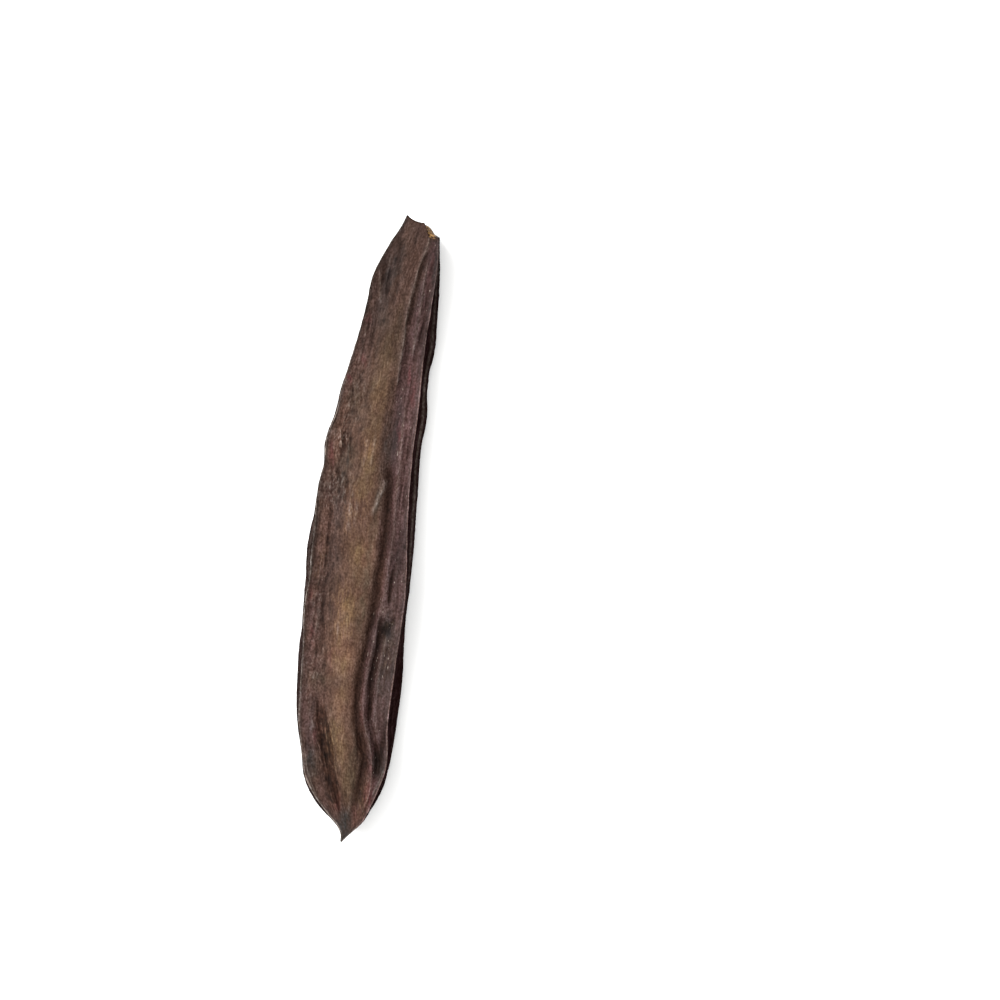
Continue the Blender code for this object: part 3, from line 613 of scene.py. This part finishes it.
def ring_layout():
    """For each point of a ring: its part, its share along that part, and its end station."""
    upper = np.linspace(0, 1, UPPER_CELLS + 1)
    lower = np.linspace(1, 0, LOWER_CELLS + 1)
    wall = np.arange(1, WALL_CELLS) / WALL_CELLS
    parts = np.repeat(
        ["upper", "right", "lower", "left"], [len(upper), len(wall), len(lower), len(wall)]
    )
    shares = np.concatenate([upper, wall, lower, wall[::-1]])
    right_end = UPPER_END[-1][1] + (LOWER_END[-1][1] - UPPER_END[-1][1]) * wall
    left_end = UPPER_END[0][1] + (LOWER_END[0][1] - UPPER_END[0][1]) * wall[::-1]
    ends = [through(UPPER_END, upper), right_end, through(LOWER_END, lower), left_end]
    return parts, shares, np.concatenate(ends)


def station_list():
    """Stations from the stem end to the beak, closer together at both ends."""
    starts = [start for start, _ in STATION_STEPS] + [POD_LENGTH]
    runs = [
        np.linspace(starts[i], starts[i + 1], cells, endpoint=False)
        for i, (_, cells) in enumerate(STATION_STEPS)
    ]
    return np.append(np.concatenate(runs), POD_LENGTH)


def gradient_noise(points, size, seed):
    """Smooth noise between about -1 and 1.

    Space is cut into boxes of the given size. Each corner has a seeded unit vector, and the
    value blends the eight corners' dot products with the way from the corner to the point.
    """
    cells = points / np.array(size)
    low = np.floor(cells).astype(int)
    part = cells - low
    low -= low.reshape(-1, 3).min(axis=0)
    shape = (*(low.reshape(-1, 3).max(axis=0) + 2), 3)
    vectors = np.random.default_rng(seed).normal(size=shape)
    vectors /= np.linalg.norm(vectors, axis=-1, keepdims=True)
    fade = part**3 * (part * (part * 6 - 15) + 10)
    total = np.zeros(points.shape[:-1])
    for corner in np.ndindex(2, 2, 2):
        weight = np.prod(np.where(corner, fade, 1 - fade), axis=-1)
        vector = vectors[tuple(np.moveaxis(low + corner, -1, 0))]
        total += weight * ((part - corner) * vector).sum(axis=-1)
    return total * 1.6


def crease_noise(points, size, sharpness, seed):
    """A net of narrow creases: 0 on the skin and -1 where smooth noise passes through zero."""
    warp = gradient_noise(points, np.array(size) * 2.5, seed + 1) * 0.5 * size[0]
    moved = points + np.stack([warp, 0 * warp, 0 * warp], axis=-1)
    return -bump_of(gradient_noise(moved, size, seed) * sharpness)


def averaged(field, times):
    """The field with each value averaged with its neighbours many times over.

    The ring closes on itself, and the first and last rows repeat beyond the ends.
    """
    for _ in range(times):
        field = (np.roll(field, 1, 1) + 2 * field + np.roll(field, -1, 1)) / 4
        padded = np.pad(field, ((1, 1), (0, 0)), mode="edge")
        field = (padded[:-2] + 2 * field + padded[2:]) / 4
    return field


def outward(points):
    """Unit normals of a grid whose second axis closes: the cross product of its two slopes."""
    along = np.gradient(points, axis=0)
    around = np.roll(points, -1, 1) - np.roll(points, 1, 1)
    normal = np.cross(along, around)
    return normal / np.maximum(np.linalg.norm(normal, axis=-1, keepdims=True), 1e-9)


def face_level(station, offset, left, right, swell, furrows, creases, dents):
    """A broad face's level above its rims, and the creases' part of it.

    The level is the relief plus a sum of creases, less a sum of dents.
    """
    folds = np.zeros(station.shape)
    for path, depth, width in creases:
        folds += furrow(station, offset, path, depth, width, CREASE_FADE)
    level = relief(station, offset, left, right, swell, furrows) + folds
    for spot in dents:
        level += dent(station, offset, *spot)
    return level, folds


def smooth_form():
    """The pod before its noise: grids of values over the stations and round each ring.

    The flow is a straightened pod, in which the fibres run true along the second axis.
    """
    parts, shares, ends = ring_layout()
    base = station_list()[:, None]
    station = base + ends * (1 - np.clip(base / STEM_BLEND, 0, 1)) ** 2
    share = np.broadcast_to(shares, station.shape)
    left_edge = through(LEFT_EDGE, station)
    right_edge = through(RIGHT_EDGE, station)
    width = right_edge - left_edge
    tuck = np.minimum(RIM_TUCK, 0.2 * width)
    left_rim = left_edge + through(LEFT_INSET, station)
    right_rim = right_edge - through(RIGHT_INSET, station)
    low_left, low_right = left_edge + tuck, right_edge - tuck
    middle = through(MIDDLE_HEIGHT, station)
    half = through(HALF_THICKNESS, station)
    slimmer = np.clip(half / FULL_HALF_THICKNESS, 0, 1)

    upper_offset = left_rim + share * (right_rim - left_rim)
    upper, folds = face_level(station, upper_offset, left_rim, right_rim, UPPER_SWELL,
                              UPPER_FURROWS, UPPER_CREASES, UPPER_DENTS)
    lower_offset = low_left + share * (low_right - low_left)
    lower, low_folds = face_level(station, lower_offset, low_left, low_right, LOWER_SWELL,
                                  LOWER_FURROWS, LOWER_CREASES, [])
    right_wall = wall_offset(share, right_rim, right_edge, low_right)
    left_wall = wall_offset(share, left_rim, left_edge, low_left)
    wall = middle + (half + RIM_LIP_HEIGHT * slimmer) * (1 - 2 * share)

    is_part = [parts == name for name in ("upper", "right", "lower", "left")]
    offset = np.select(is_part, [upper_offset, right_wall, lower_offset, left_wall])
    level = np.select(is_part, [upper, RIM_LIP_HEIGHT, lower, RIM_LIP_HEIGHT]) * slimmer
    height = np.select(is_part, [middle + half + level, wall, middle - half - level, wall])
    bulge = 0.5 + FLOW_BULGE * np.sin(math.pi * share)
    over = np.select(is_part, [share - 0.5, bulge, share - 0.5, -bulge])
    spread = NOMINAL_WIDTH + TRUE_WIDTH_SHARE * (width - NOMINAL_WIDTH)
    rim_gap = np.minimum(offset - left_rim, right_rim - offset)
    low_gap = np.minimum(offset - low_left, low_right - offset)
    none = 0 * station
    return SimpleNamespace(
        station=station, offset=offset, share=share, ends=ends, half=half, level=level,
        is_part=is_part, is_upper=np.broadcast_to(is_part[0], station.shape),
        on_wall=np.broadcast_to(is_part[1] | is_part[3], station.shape),
        on_right=offset > (low_left + low_right) / 2,
        gap=np.select(is_part, [rim_gap, none, low_gap, none]),
        folds=np.select(is_part, [folds, none, low_folds, none]) / -FOLD_DEPTH,
        points=np.stack([station, offset, height], axis=-1),
        flow=np.stack([over * spread, station, height - middle], axis=-1),
    )


def pod_skin(lumps, wrinkles, net, seed):
    """The skin as a grid of (station, offset, height), its flow, and masks for its colours.

    The noise moves each point of the smooth form along its normal.
    """
    form = smooth_form()
    golden = np.where(form.is_upper, golden_mask(form, seed), 0)
    golden = np.where(form.is_part[2], 0.7 * golden_mask(form, seed + 3), golden)
    mauve = form.is_upper * patch_mask(form, MAUVE_PATCHES, seed + 35)
    plum = ease((form.offset - through(PLUM_LEFT, form.station)) / 1.6)
    plum = np.where(form.on_wall, 0, np.maximum(plum, mauve))
    push = noise_push(form, golden, plum, lumps, wrinkles, net, seed)
    points = form.points + outward(form.points) * push[..., None]
    points[..., 2] = np.maximum(points[..., 2], 0)
    return points, form.flow, colour_masks(form, golden, plum, push, seed)


def noise_push(form, golden, plum, lumps, wrinkles, net, seed):
    """How far the noise moves the skin: two sizes of lumps, long wrinkles, short ones, a net.

    The golden strip is calmer, the right margin has deeper wrinkles, and the net lies on the
    crumpled part of the left margin.
    """
    station, flow = form.station, form.flow
    calm = 1 - 0.65 * golden
    push = lumps * (np.tanh(gradient_noise(flow, (4, 7, 4), seed + 10)) - 0.3)
    push += 0.6 * lumps * (np.tanh(gradient_noise(flow, (1.7, 3.4, 2), seed + 11)) - 0.3)
    broken = ease(0.5 + 1.2 * gradient_noise(flow, (3, 5, 3), seed + 18))
    long = (1 + 1.2 * plum) * (0.4 + 0.6 * ease((station - 10) / 15))
    long *= 1 - 0.5 * plum * ease((station - 100) / 8)
    push += wrinkles * calm * long * broken * crease_noise(flow, (1.3, 9, 1.6), 5, seed + 12)
    push += 0.5 * wrinkles * calm * crease_noise(flow, (0.8, 2.2, 1), 4, seed + 14)
    netted = form.is_upper * ease((-9 - form.offset) / 3)
    netted *= ease((station - 30) / 10) * ease((84 - station) / 14)
    push += net * netted * crease_noise(flow, (0.9, 1.5, 1.1), 4, seed + 16)
    return push * np.clip(form.half / 2, 0.25, 1)


def colour_masks(form, golden, plum, push, seed):
    """A mask for each thing that colours the skin, by the name that the material reads."""
    flow = form.flow

    def spots(patches, number):
        """Set patches of the upper face, with an edge of their own."""
        return form.is_upper * patch_mask(form, patches, seed + number)

    def lines(size, number, sharpness, slant=0.0, start=0.0):
        """Fine lines where smooth noise passes through zero, slanting across the flow."""
        leaning = flow + slant * (flow[..., 1:2] - start) * (1, 0, 0)
        return bump_of(gradient_noise(leaning, size, seed + number) * sharpness)

    # Scratches that slant both ways, fine streaks along the fibres, and the bundle's lines
    scratched = spots(SCRATCHED_PATCHES, 39)
    scratches = lines((0.9, 3.2, 1.2), 40, 7, 0.45)
    dark_scratches = lines((1, 2.6, 1.2), 44, 5, -0.35)
    hairs = lines((2.2, 3, 2), 45, 10)
    streaks = lines((0.6, 4, 1), 47, 5)
    bundled = spots(BUNDLE_PATCHES, 41)
    bundle = lines((0.6, 4.5, 1.2), 42, 3.4, -BUNDLE_SLANT, BUNDLE_START)
    folds = form.folds + 1.6 * bundled * bundle + scratched * (0.5 * dark_scratches + 0.3 * hairs)

    # How far each point lies below its wide and its close surroundings: this sets the painted shade
    # in hollows and creases and the faint painted sheen on raised parts
    close = averaged(form.level + push, CLOSE_PASSES)
    sunk = averaged(close, WIDE_PASSES) - close
    creased = close - (form.level + push)
    dark = ease(sunk / HOLLOW_DEPTH) + np.clip(creased / CREASE_DEPTH, 0, 0.35) + folds

    # How far down a wall each point lies, and the painted highlights along the rims' crests and the
    # seam's lip
    down_wall = np.where(form.on_wall, np.minimum(form.share, 1 - form.share) * 2 * form.half, 0)
    rim = np.where(form.on_right, RIGHT_RIM_HIGHLIGHT, through(LEFT_RIM_HIGHLIGHT, form.station))
    rim *= bump_of((form.gap - CREST_INSET) / CREST_WIDTH) * bump_of(down_wall / CREST_DROP)
    lip_highlight = through(WALL_LIP_HIGHLIGHT, form.station) * bump_of((form.share - LIP_OF_WALL) / LIP_WIDTH)
    right, left = form.is_part[1], form.is_part[3]
    return {
        "golden": golden,
        "plum": plum,
        "gilt": patch_mask(form, GILT_PATCHES, seed + 33),
        "olive": spots(OLIVE_PATCHES, 34),
        "rusty": spots(RUSTY_PATCHES, 37),
        "ruddy": spots(RUDDY_PATCHES, 43),
        "slate": slate_mask(form) + 0.8 * left + spots(SLATE_PATCHES, 38),
        "streak": spots(STREAKED_PATCHES, 46) * streaks,
        # Lighter and darker tone, partly painted light and shade on the folds
        "bright": bright_mask(form, bundled, seed),
        # Painted shade in hollows and creases, with the real dark of the bundle's lines and the
        # dark scratches
        "sunk": np.clip(dark, 0, 1),
        # A faint painted sheen on raised parts
        "crest_highlight": np.clip(-sunk / 0.8 - creased / 0.2, 0, 1),
        # Real pale scratches, and a painted highlight on ridges
        "pale": np.clip(0.8 * scratched * scratches - folds, 0, 1),
        # Painted highlights along the rims' crests and the walls' lips
        "rim": rim + lip_highlight * (right + 0.6 * left),
        # Mostly painted shade on the side walls
        "wall": ease(down_wall / 0.5) * (right + 0.7 * left),
        # A painted shadow line along the stem end's edge; the cut face outside the torn fibres is
        # near black too
        "cut_shade": bump_of((form.station - form.ends) / 0.5),
        "scar": 0 * form.station,
    }


def golden_mask(form, seed):
    """The golden strip: between its two limits, softened and broken up."""
    drift = 1.2 * gradient_noise(form.flow, (3, 6, 3), seed + 30)
    inside = ease((form.offset - through(GOLD_LEFT, form.station) + drift + 2.2) / 4.4)
    inside *= ease((through(GOLD_RIGHT, form.station) - form.offset + 0.5 * drift + 1) / 2.4)
    return np.clip(inside * through(GOLD_LEVEL, form.station), 0, 1)


def bright_mask(form, bundled, seed):
    """How much lighter the skin is than its usual tone: drifting noise, and set patches, some of
    them painted light and shade.
    """
    station, offset, flow = form.station, form.offset, form.flow
    bright = through(TONE, station) + 0.14 * gradient_noise(flow, (3.5, 7, 4), seed + 31)
    bright += 0.9 * bundled * gradient_noise(flow, (0.8, 1.6, 1), seed + 48)
    uneven = 0.16 + 0.14 * ease((-8.5 - offset) / 3)
    bright += uneven * gradient_noise(flow, (1.6, 3, 2), seed + 32)
    bright += uneven * gradient_noise(flow, (0.7, 1.8, 1), seed + 36)
    for spot in BRIGHT_PATCHES:
        bright -= form.is_upper * dent(station, offset, *spot)
    return bright


def patch_mask(form, patches, seed):
    """Set patches added up, with their edges drifting along smooth noise."""
    drift = gradient_noise(form.flow, (1.8, 3, 2), seed)
    total = 0 * form.station
    for spot in patches:
        total -= dent(form.station + 2 * drift, form.offset + 0.9 * drift, *spot)
    return np.clip(total * (1 + 0.5 * gradient_noise(form.flow, (0.9, 2, 1), seed + 10)), 0, 1)


def slate_mask(form):
    """The grey edge: a thin line inside the rims, and the left half of the beak."""
    beak = 0.6 * ease((form.station - 150) / 8) * ease((3 - form.offset) / 2)
    edge = 0.5 * bump_of(form.gap / 0.8) * (1 - form.on_wall)
    return np.clip(beak + edge, 0, 1) * (1 - 0.2 * form.on_wall)


def scar_rings(edge, seed):
    """Rings that close the torn stem end, each the edge shrunk towards its middle.

    They sink in at the left, stay full at the right where the fibres tore off, and carry a
    fine ragged noise.
    """
    centre = edge.mean(axis=0)
    span = np.ptp(edge[:, 1])
    rings = []
    for share in SCAR_RINGS:
        ring = centre + (edge - centre) * share
        dry = ease((centre[1] + 0.1 * span - ring[:, 1]) / (0.3 * span))
        ragged = gradient_noise(ring, (0.5, 0.45, 0.5), seed + 20)
        ragged += 0.6 * gradient_noise(ring, (0.25, 0.25, 0.25), seed + 21)
        ring[:, 0] += (SCAR_RECESS * dry + 0.35 * (ragged + 0.5)) * (1 - share**2)
        rings.append(ring)
    return rings, centre


def to_model(points):
    """Station, offset and height in millimetres to X, Y and Z in metres, centred."""
    fine = np.linspace(0, POD_LENGTH, 1601)
    middle = (through(LEFT_EDGE, fine).min() + through(RIGHT_EDGE, fine).max()) / 2
    halfway = (UPPER_END[0][1] + POD_LENGTH + BEAK_CAP) / 2
    station, offset, height = np.moveaxis(np.asarray(points, float), -1, 0)
    return np.stack([offset - middle, halfway - station, height], axis=-1) * MM


def put_attribute(mesh, name, values):
    """Stores one number, or one vector, for each point of the mesh."""
    if values.ndim == 1:
        layer = mesh.attributes.new(name, "FLOAT", "POINT")
        layer.data.foreach_set("value", values.astype(np.float32))
        return
    layer = mesh.attributes.new(name, "FLOAT_VECTOR", "POINT")
    layer.data.foreach_set("vector", values.astype(np.float32).ravel())


def pod_mesh(settings):
    """One closed mesh: rings of quads from the torn end to the beak, and a fan at each end."""
    seed = settings.seed
    depths = [v / MM for v in (settings.lump_height, settings.wrinkle_depth, settings.net_depth)]
    skin, flow, masks = pod_skin(*depths, seed)
    rings, centre = scar_rings(skin[0], seed)
    beak = skin[-1].mean(axis=0) + (BEAK_CAP, 0, 0)
    loops = [*rings[::-1], *skin]
    around = len(skin[0])
    points = np.concatenate([*loops, [centre], [beak]])

    near = np.arange(len(loops) - 1)[:, None] * around
    j = np.arange(around)
    k = (j + 1) % around
    quads = np.stack([near + j, near + around + j, near + around + k, near + k], axis=-1)
    last = (len(loops) - 1) * around
    scar_pole, beak_pole = len(points) - 2, len(points) - 1
    fans = [(scar_pole, a, b) for a, b in zip(j.tolist(), k.tolist())]
    fans += [(beak_pole, last + b, last + a) for a, b in zip(j.tolist(), k.tolist())]

    mesh = bpy.data.meshes.new("carob_pod")
    mesh.from_pydata(to_model(points).tolist(), [], quads.reshape(-1, 4).tolist() + fans)
    inner = len(rings) * around
    bare = np.zeros(len(mesh.polygons), int)
    on_seam = (masks["wall"] > SEAM_WALL) & (masks["wall"][:, k] > SEAM_WALL)
    bare[inner : inner + on_seam[:-1].size] = on_seam[:-1].ravel()
    mesh.polygons.foreach_set("material_index", bare)
    torn = torn_mask(points[:inner])
    on_end = {"scar": torn, "cut_shade": 1 - torn}
    for name, values in masks.items():
        end = on_end.get(name, np.zeros(inner))
        poles = [end[:1], [values[-1].mean()]]
        put_attribute(mesh, name, np.concatenate([end, values.ravel(), *poles]))
    end_flow = np.concatenate([points[:inner], [centre]])[:, [1, 0, 2]]
    flow = np.concatenate([end_flow[:-1], flow.reshape(-1, 3), end_flow[-1:],
                           [flow[-1].mean(axis=0)]])
    put_attribute(mesh, "flow", flow * MM)
    mesh.update()
    mesh.shade_smooth()
    return mesh


def torn_mask(points):
    """Where the cut end shows tan torn fibres: between two offsets, eased at both."""
    return ease((points[:, 1] - TORN_FROM) / 0.8) * ease((TORN_TO - points[:, 1]) / 0.4)


def add(tree, kind, links=None, **settings):
    """Adds a node, gives it its settings, and sets or links its inputs by name or number."""
    node = tree.nodes.new(kind)
    for name, value in settings.items():
        setattr(node, name, value)
    for socket, value in (links or {}).items():
        if isinstance(value, bpy.types.NodeSocket):
            tree.links.new(value, node.inputs[socket])
        else:
            node.inputs[socket].default_value = value
    return node


def dried_husk(name, colours, fibre_depth, gloss):
    """Dried carob husk: tough leathery skin, wrinkled lengthways as the pulp shrank under it.

    It gives a dull sheen, golden brown over the seeds and purple grey at the margins, all broken
    up by fine lengthways fibres and pale dry flecks. Painted shade makes the furrows, creases,
    hollows and side walls near black, and painted highlights run along the rims' crests and
    lips, the ridges and the raised parts. The seam between the two halves has no gloss: its
    fibres are bare there.
    """
    material = bpy.data.materials.new(name)
    material.use_nodes = True
    tree = material.node_tree
    tree.nodes.clear()

    def mask(name):
        return add(tree, "ShaderNodeAttribute", attribute_name=name).outputs["Fac"]

    def noise(size, detail=3.0, roughness=0.55, seed=0.0, kind="ShaderNodeTexNoise"):
        """Noise whose features measure size millimetres across, along and down the pod."""
        scaled = add(tree, "ShaderNodeMapping", {
            "Vector": flow, "Location": (seed, seed * 1.7, seed * 0.6),
            "Scale": tuple(1 / (v * MM) for v in size),
        }).outputs[0]
        return add(tree, kind, {
            "Vector": scaled, "Scale": 1.0, "Detail": detail, "Roughness": roughness,
        }).outputs[0]

    def ramp(value, low, high, first=0.0, last=1.0):
        """The value turned from the range low to high into the range first to last."""
        return add(tree, "ShaderNodeMapRange", {
            "Value": value, "From Min": low, "From Max": high, "To Min": first, "To Max": last,
        }).outputs[0]

    def times(a, b):
        return add(tree, "ShaderNodeMath", {0: a, 1: b}, operation="MULTIPLY").outputs[0]

    def plus(a, b):
        return add(tree, "ShaderNodeMath", {0: a, 1: b}, operation="ADD").outputs[0]

    def power(a, b):
        return add(tree, "ShaderNodeMath", {0: a, 1: b}, operation="POWER").outputs[0]

    def blend(factor, a, b, how="MIX"):
        def colour(value):
            return value if isinstance(value, bpy.types.NodeSocket) else (*value, 1.0)

        return add(tree, "ShaderNodeMix", {0: factor, 6: colour(a), 7: colour(b)},
                   data_type="RGBA", blend_type=how).outputs[2]

    flow = add(tree, "ShaderNodeAttribute", attribute_name="flow").outputs["Vector"]

    # Patches 5 by 14 mm, mottling 1.3 by 2 mm, grain 0.5 by 0.6 mm, strokes 0.45 by 2 mm and,
    # on the right margin and the walls, lines 0.5 by 9 mm
    patches = noise((5.0, 14.0, 5.0), 2.0, seed=3.1)
    mottle = noise((1.3, 2.0, 1.5), 3.0, seed=5.7)
    grain = noise((0.5, 0.6, 0.5), 2.0, roughness=0.5, seed=21.4)
    strokes = noise((0.45, 2.0, 0.5), 2.0, seed=14.6)
    lines = noise((0.5, 9.0, 0.6), 2.0, seed=9.2)

    base = blend(ramp(patches, 0.35, 0.65, 0.0, 0.4), colours.margin, colours.plum)
    base = blend(mask("plum"), base, colours.plum)
    strip = blend(mask("gilt"), colours.rust, colours.gold)
    base = blend(plus(mask("golden"), ramp(mottle, 0.3, 0.7, -0.1, 0.1)), base, strip)
    for layer, share, tone in (
        ("olive", 0.8, colours.olive), ("rusty", 0.8, colours.rust),
        ("ruddy", 0.7, colours.ruddy), ("slate", 1.0, colours.slate),
    ):
        base = blend(times(mask(layer), share), base, tone)
    # Painted shade: hollows, creases and folds darken towards near black
    deep = blend(0.5, blend(1.0, base, DEEP_SHADE, "MULTIPLY"), colours.furrow)
    base = blend(times(mask("sunk"), 0.9), base, deep)
    # A faint painted sheen on raised parts, in the rim's grey
    base = blend(times(mask("crest_highlight"), 0.06), base, colours.rim)
    base = blend(times(mask("streak"), 0.35), base, colours.straw)
    # Real pale scratches, and a painted highlight on ridges
    base = blend(times(mask("pale"), ramp(mottle, 0.35, 0.6, 0.3, 0.8)), base, colours.rim)
    # Painted shade: the side walls go near black
    base = blend(times(mask("wall"), ramp(lines, 0.4, 0.7, 0.99, 0.9)), base, colours.wall)
    # Painted highlight along the rims' crests and the walls' lips
    crest_highlight = blend(mask("plum"), colours.rim, colours.pinkish_highlight)
    base = blend(times(mask("rim"), ramp(strokes, 0.3, 0.6, 0.4, 1.0)), base, crest_highlight)

    # The golden strip has the least grain
    lined = plus(mask("plum"), mask("wall"))
    drawn = add(tree, "ShaderNodeMix", {0: lined, 2: strokes, 3: lines}).outputs[0]
    calmer = times(mask("golden"), 0.12)
    shade = ramp(grain, 0.3, 0.7, plus(0.4, calmer), plus(1.24, times(calmer, -1.0)))
    shade = times(shade, ramp(mottle, 0.32, 0.68, 0.84, 1.16))
    shade = times(shade, ramp(drawn, 0.36, 0.64, 0.8, 1.2))
    tones = [power(shade, v) for v in GRAIN_POWERS]
    tint = add(tree, "ShaderNodeCombineColor", dict(enumerate(tones))).outputs[0]
    skin = blend(1.0, base, tint, "MULTIPLY")
    skin = add(tree, "ShaderNodeVectorMath", {
        0: skin, "Scale": plus(1.0, mask("bright")),
    }, operation="SCALE").outputs[0]
    flecks = ramp(noise((0.4, 1.3, 0.45), 1.0, seed=33.0), 0.72, 0.77)
    skin = blend(times(flecks, plus(0.1, times(mask("plum"), 0.35))), skin, colours.fleck)
    # Painted shadow line along the stem end's edge, and near black over the rest of the cut face
    skin = blend(times(mask("cut_shade"), 0.85), skin, colours.furrow)
    pores = ramp(noise((0.7, 0.6, 0.7), 2.0, seed=41.0), 0.46, 0.54)
    torn = blend(pores, colours.scar, colours.furrow)
    skin = blend(mask("scar"), skin, torn)

    rough = plus(ramp(mottle, 0.3, 0.7, 0.52, 0.66), times(mask("sunk"), 0.15))
    height = plus(plus(times(grain, 0.35), times(drawn, 0.5)), times(mottle, 0.8))
    bump = add(tree, "ShaderNodeBump", {
        "Strength": 1.0, "Distance": fibre_depth * 3, "Height": height,
    }).outputs[0]
    shader = add(tree, "ShaderNodeBsdfPrincipled", {
        "Base Color": skin, "Roughness": rough, "Normal": bump, "IOR": 1.45, "Metallic": 0.0,
        "Specular IOR Level": gloss,
    })
    add(tree, "ShaderNodeOutputMaterial", {"Surface": shader.outputs[0]})
    return material


def matt_paper(colour):
    """Matt white paper: a smooth, even sheet with little gloss, as a floor under small objects."""
    material = bpy.data.materials.new("matt_white_paper")
    material.use_nodes = True
    shader = material.node_tree.nodes["Principled BSDF"]
    shader.inputs["Base Color"].default_value = (*colour, 1.0)
    shader.inputs["Roughness"].default_value = 0.9
    shader.inputs["Specular IOR Level"].default_value = 0.1
    return material


def new_object(name, data, location=(0.0, 0.0, 0.0)):
    """Links a new object into the scene."""
    made = bpy.data.objects.new(name, data)
    made.location = location
    bpy.context.scene.collection.objects.link(made)
    return made


class CAROB_OT_pod(bpy.types.Operator):
    """Make the pod's skin, from the torn stem end to the beak"""

    bl_idname = "carob.pod"
    bl_label = "Carob pod"

    def execute(self, context):
        skin = context.scene.carob_skin
        pod = new_object("carob_pod", pod_mesh(skin))
        for name, gloss in (("dried_carob_husk", HUSK_GLOSS), ("bare_carob_seam", 0.0)):
            husk = dried_husk(name, context.scene.carob_colours, skin.fibre_depth, gloss)
            pod.data.materials.append(husk)
        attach(pod, "root")
        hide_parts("pod")
        return {"FINISHED"}


class CAROB_OT_stage(bpy.types.Operator):
    """Make the floor, the light and the camera, which looks straight down"""

    bl_idname = "carob.stage"
    bl_label = "Stage"

    def execute(self, context):
        stage = context.scene.carob_stage
        self.make_floor(stage)
        self.make_light(context.scene, stage)
        self.make_camera(context.scene, stage)
        return {"FINISHED"}

    def make_floor(self, stage):
        """A large sheet of matt paper, level with the pod's underside."""
        reach = 3.0
        corners = [(-reach, -reach, 0), (reach, -reach, 0), (reach, reach, 0), (-reach, reach, 0)]
        mesh = bpy.data.meshes.new("floor")
        mesh.from_pydata(corners, [], [(0, 1, 2, 3)])
        mesh.materials.append(matt_paper(stage.floor))
        new_object("floor", mesh)

    def make_light(self, scene, stage):
        """A white sky, brightest above, and a large soft light from the picture's upper left."""
        scene.view_settings.view_transform = "Standard"
        world = bpy.data.worlds.new("soft_sky")
        world.use_nodes = True
        tree = world.node_tree
        up = add(tree, "ShaderNodeSeparateXYZ", {
            0: add(tree, "ShaderNodeTexCoord").outputs["Generated"],
        }).outputs[2]
        strength = add(tree, "ShaderNodeMapRange", {
            "Value": up, "From Min": 0.0, "From Max": 1.0, "To Min": stage.horizon,
            "To Max": stage.zenith,
        }).outputs[0]
        background = tree.nodes["Background"]
        background.inputs["Color"].default_value = (1.0, 1.0, 1.0, 1.0)
        tree.links.new(strength, background.inputs["Strength"])
        scene.world = world
        light = bpy.data.lights.new("key", "AREA")
        light.shape = "SQUARE"
        light.size = 0.8
        light.energy = stage.key_power
        key = new_object("key", light, (-0.8, 0.4, 0.75))
        key.rotation_euler = (-key.location).to_track_quat("-Z", "Y").to_euler()

    def make_camera(self, scene, stage):
        """A camera straight above, turned and placed so that stem and beak meet their pixels."""
        stem = Vector(to_model((0.0, 0.0, 0.0)))
        beak = Vector(to_model((POD_LENGTH, 0.0, 0.0)))
        seen = Vector((BEAK_PIXEL[0] - STEM_PIXEL[0], STEM_PIXEL[1] - BEAK_PIXEL[1]))
        chord = (beak - stem).to_2d()
        scale = chord.length / seen.length
        turn = chord.angle_signed(seen)
        half = IMAGE_SIZE / 2
        centre = Vector((half - STEM_PIXEL[0], STEM_PIXEL[1] - half, 0.0)) * scale
        centre.rotate(Matrix.Rotation(turn, 3, "Z"))
        camera = bpy.data.cameras.new("camera")
        camera.sensor_width = SENSOR_WIDTH
        distance = stage.camera_height - FOCUS_HEIGHT * MM
        camera.lens = SENSOR_WIDTH * distance / (scale * IMAGE_SIZE)
        view = new_object("camera", camera, (stem.x + centre.x, stem.y + centre.y,
                                             stage.camera_height))
        view.rotation_euler = (0.0, 0.0, turn)
        scene.camera = view


class CAROB_PT_sidebar(bpy.types.Panel):
    """Sidebar panel with the pod's settings"""

    bl_idname = "CAROB_PT_sidebar"
    bl_label = "Carob Pod"
    bl_space_type = "VIEW_3D"
    bl_region_type = "UI"
    bl_category = "Carob Pod"

    def draw(self, context):
        scene = context.scene
        for operator, settings in (
            ("carob.pod", [scene.carob_skin, scene.carob_colours]),
            ("carob.stage", [scene.carob_stage]),
        ):
            box = self.layout.box()
            box.operator(operator)
            for group in settings:
                for name in group.__annotations__:
                    box.prop(group, name)


CLASSES = (
    CarobSkinSettings, CarobColourSettings, CarobStageSettings, CAROB_OT_pod, CAROB_OT_stage,
    CAROB_PT_sidebar,
)


def register():
    for made in CLASSES:
        bpy.utils.register_class(made)
    bpy.types.Scene.carob_skin = bpy.props.PointerProperty(type=CarobSkinSettings)
    bpy.types.Scene.carob_colours = bpy.props.PointerProperty(type=CarobColourSettings)
    bpy.types.Scene.carob_stage = bpy.props.PointerProperty(type=CarobStageSettings)


def unregister():
    del bpy.types.Scene.carob_stage
    del bpy.types.Scene.carob_colours
    del bpy.types.Scene.carob_skin
    for made in reversed(CLASSES):
        bpy.utils.unregister_class(made)


def main():
    register()
    bpy.ops.carob.pod()
    bpy.ops.carob.stage()


if __name__ == "__main__":
    main()
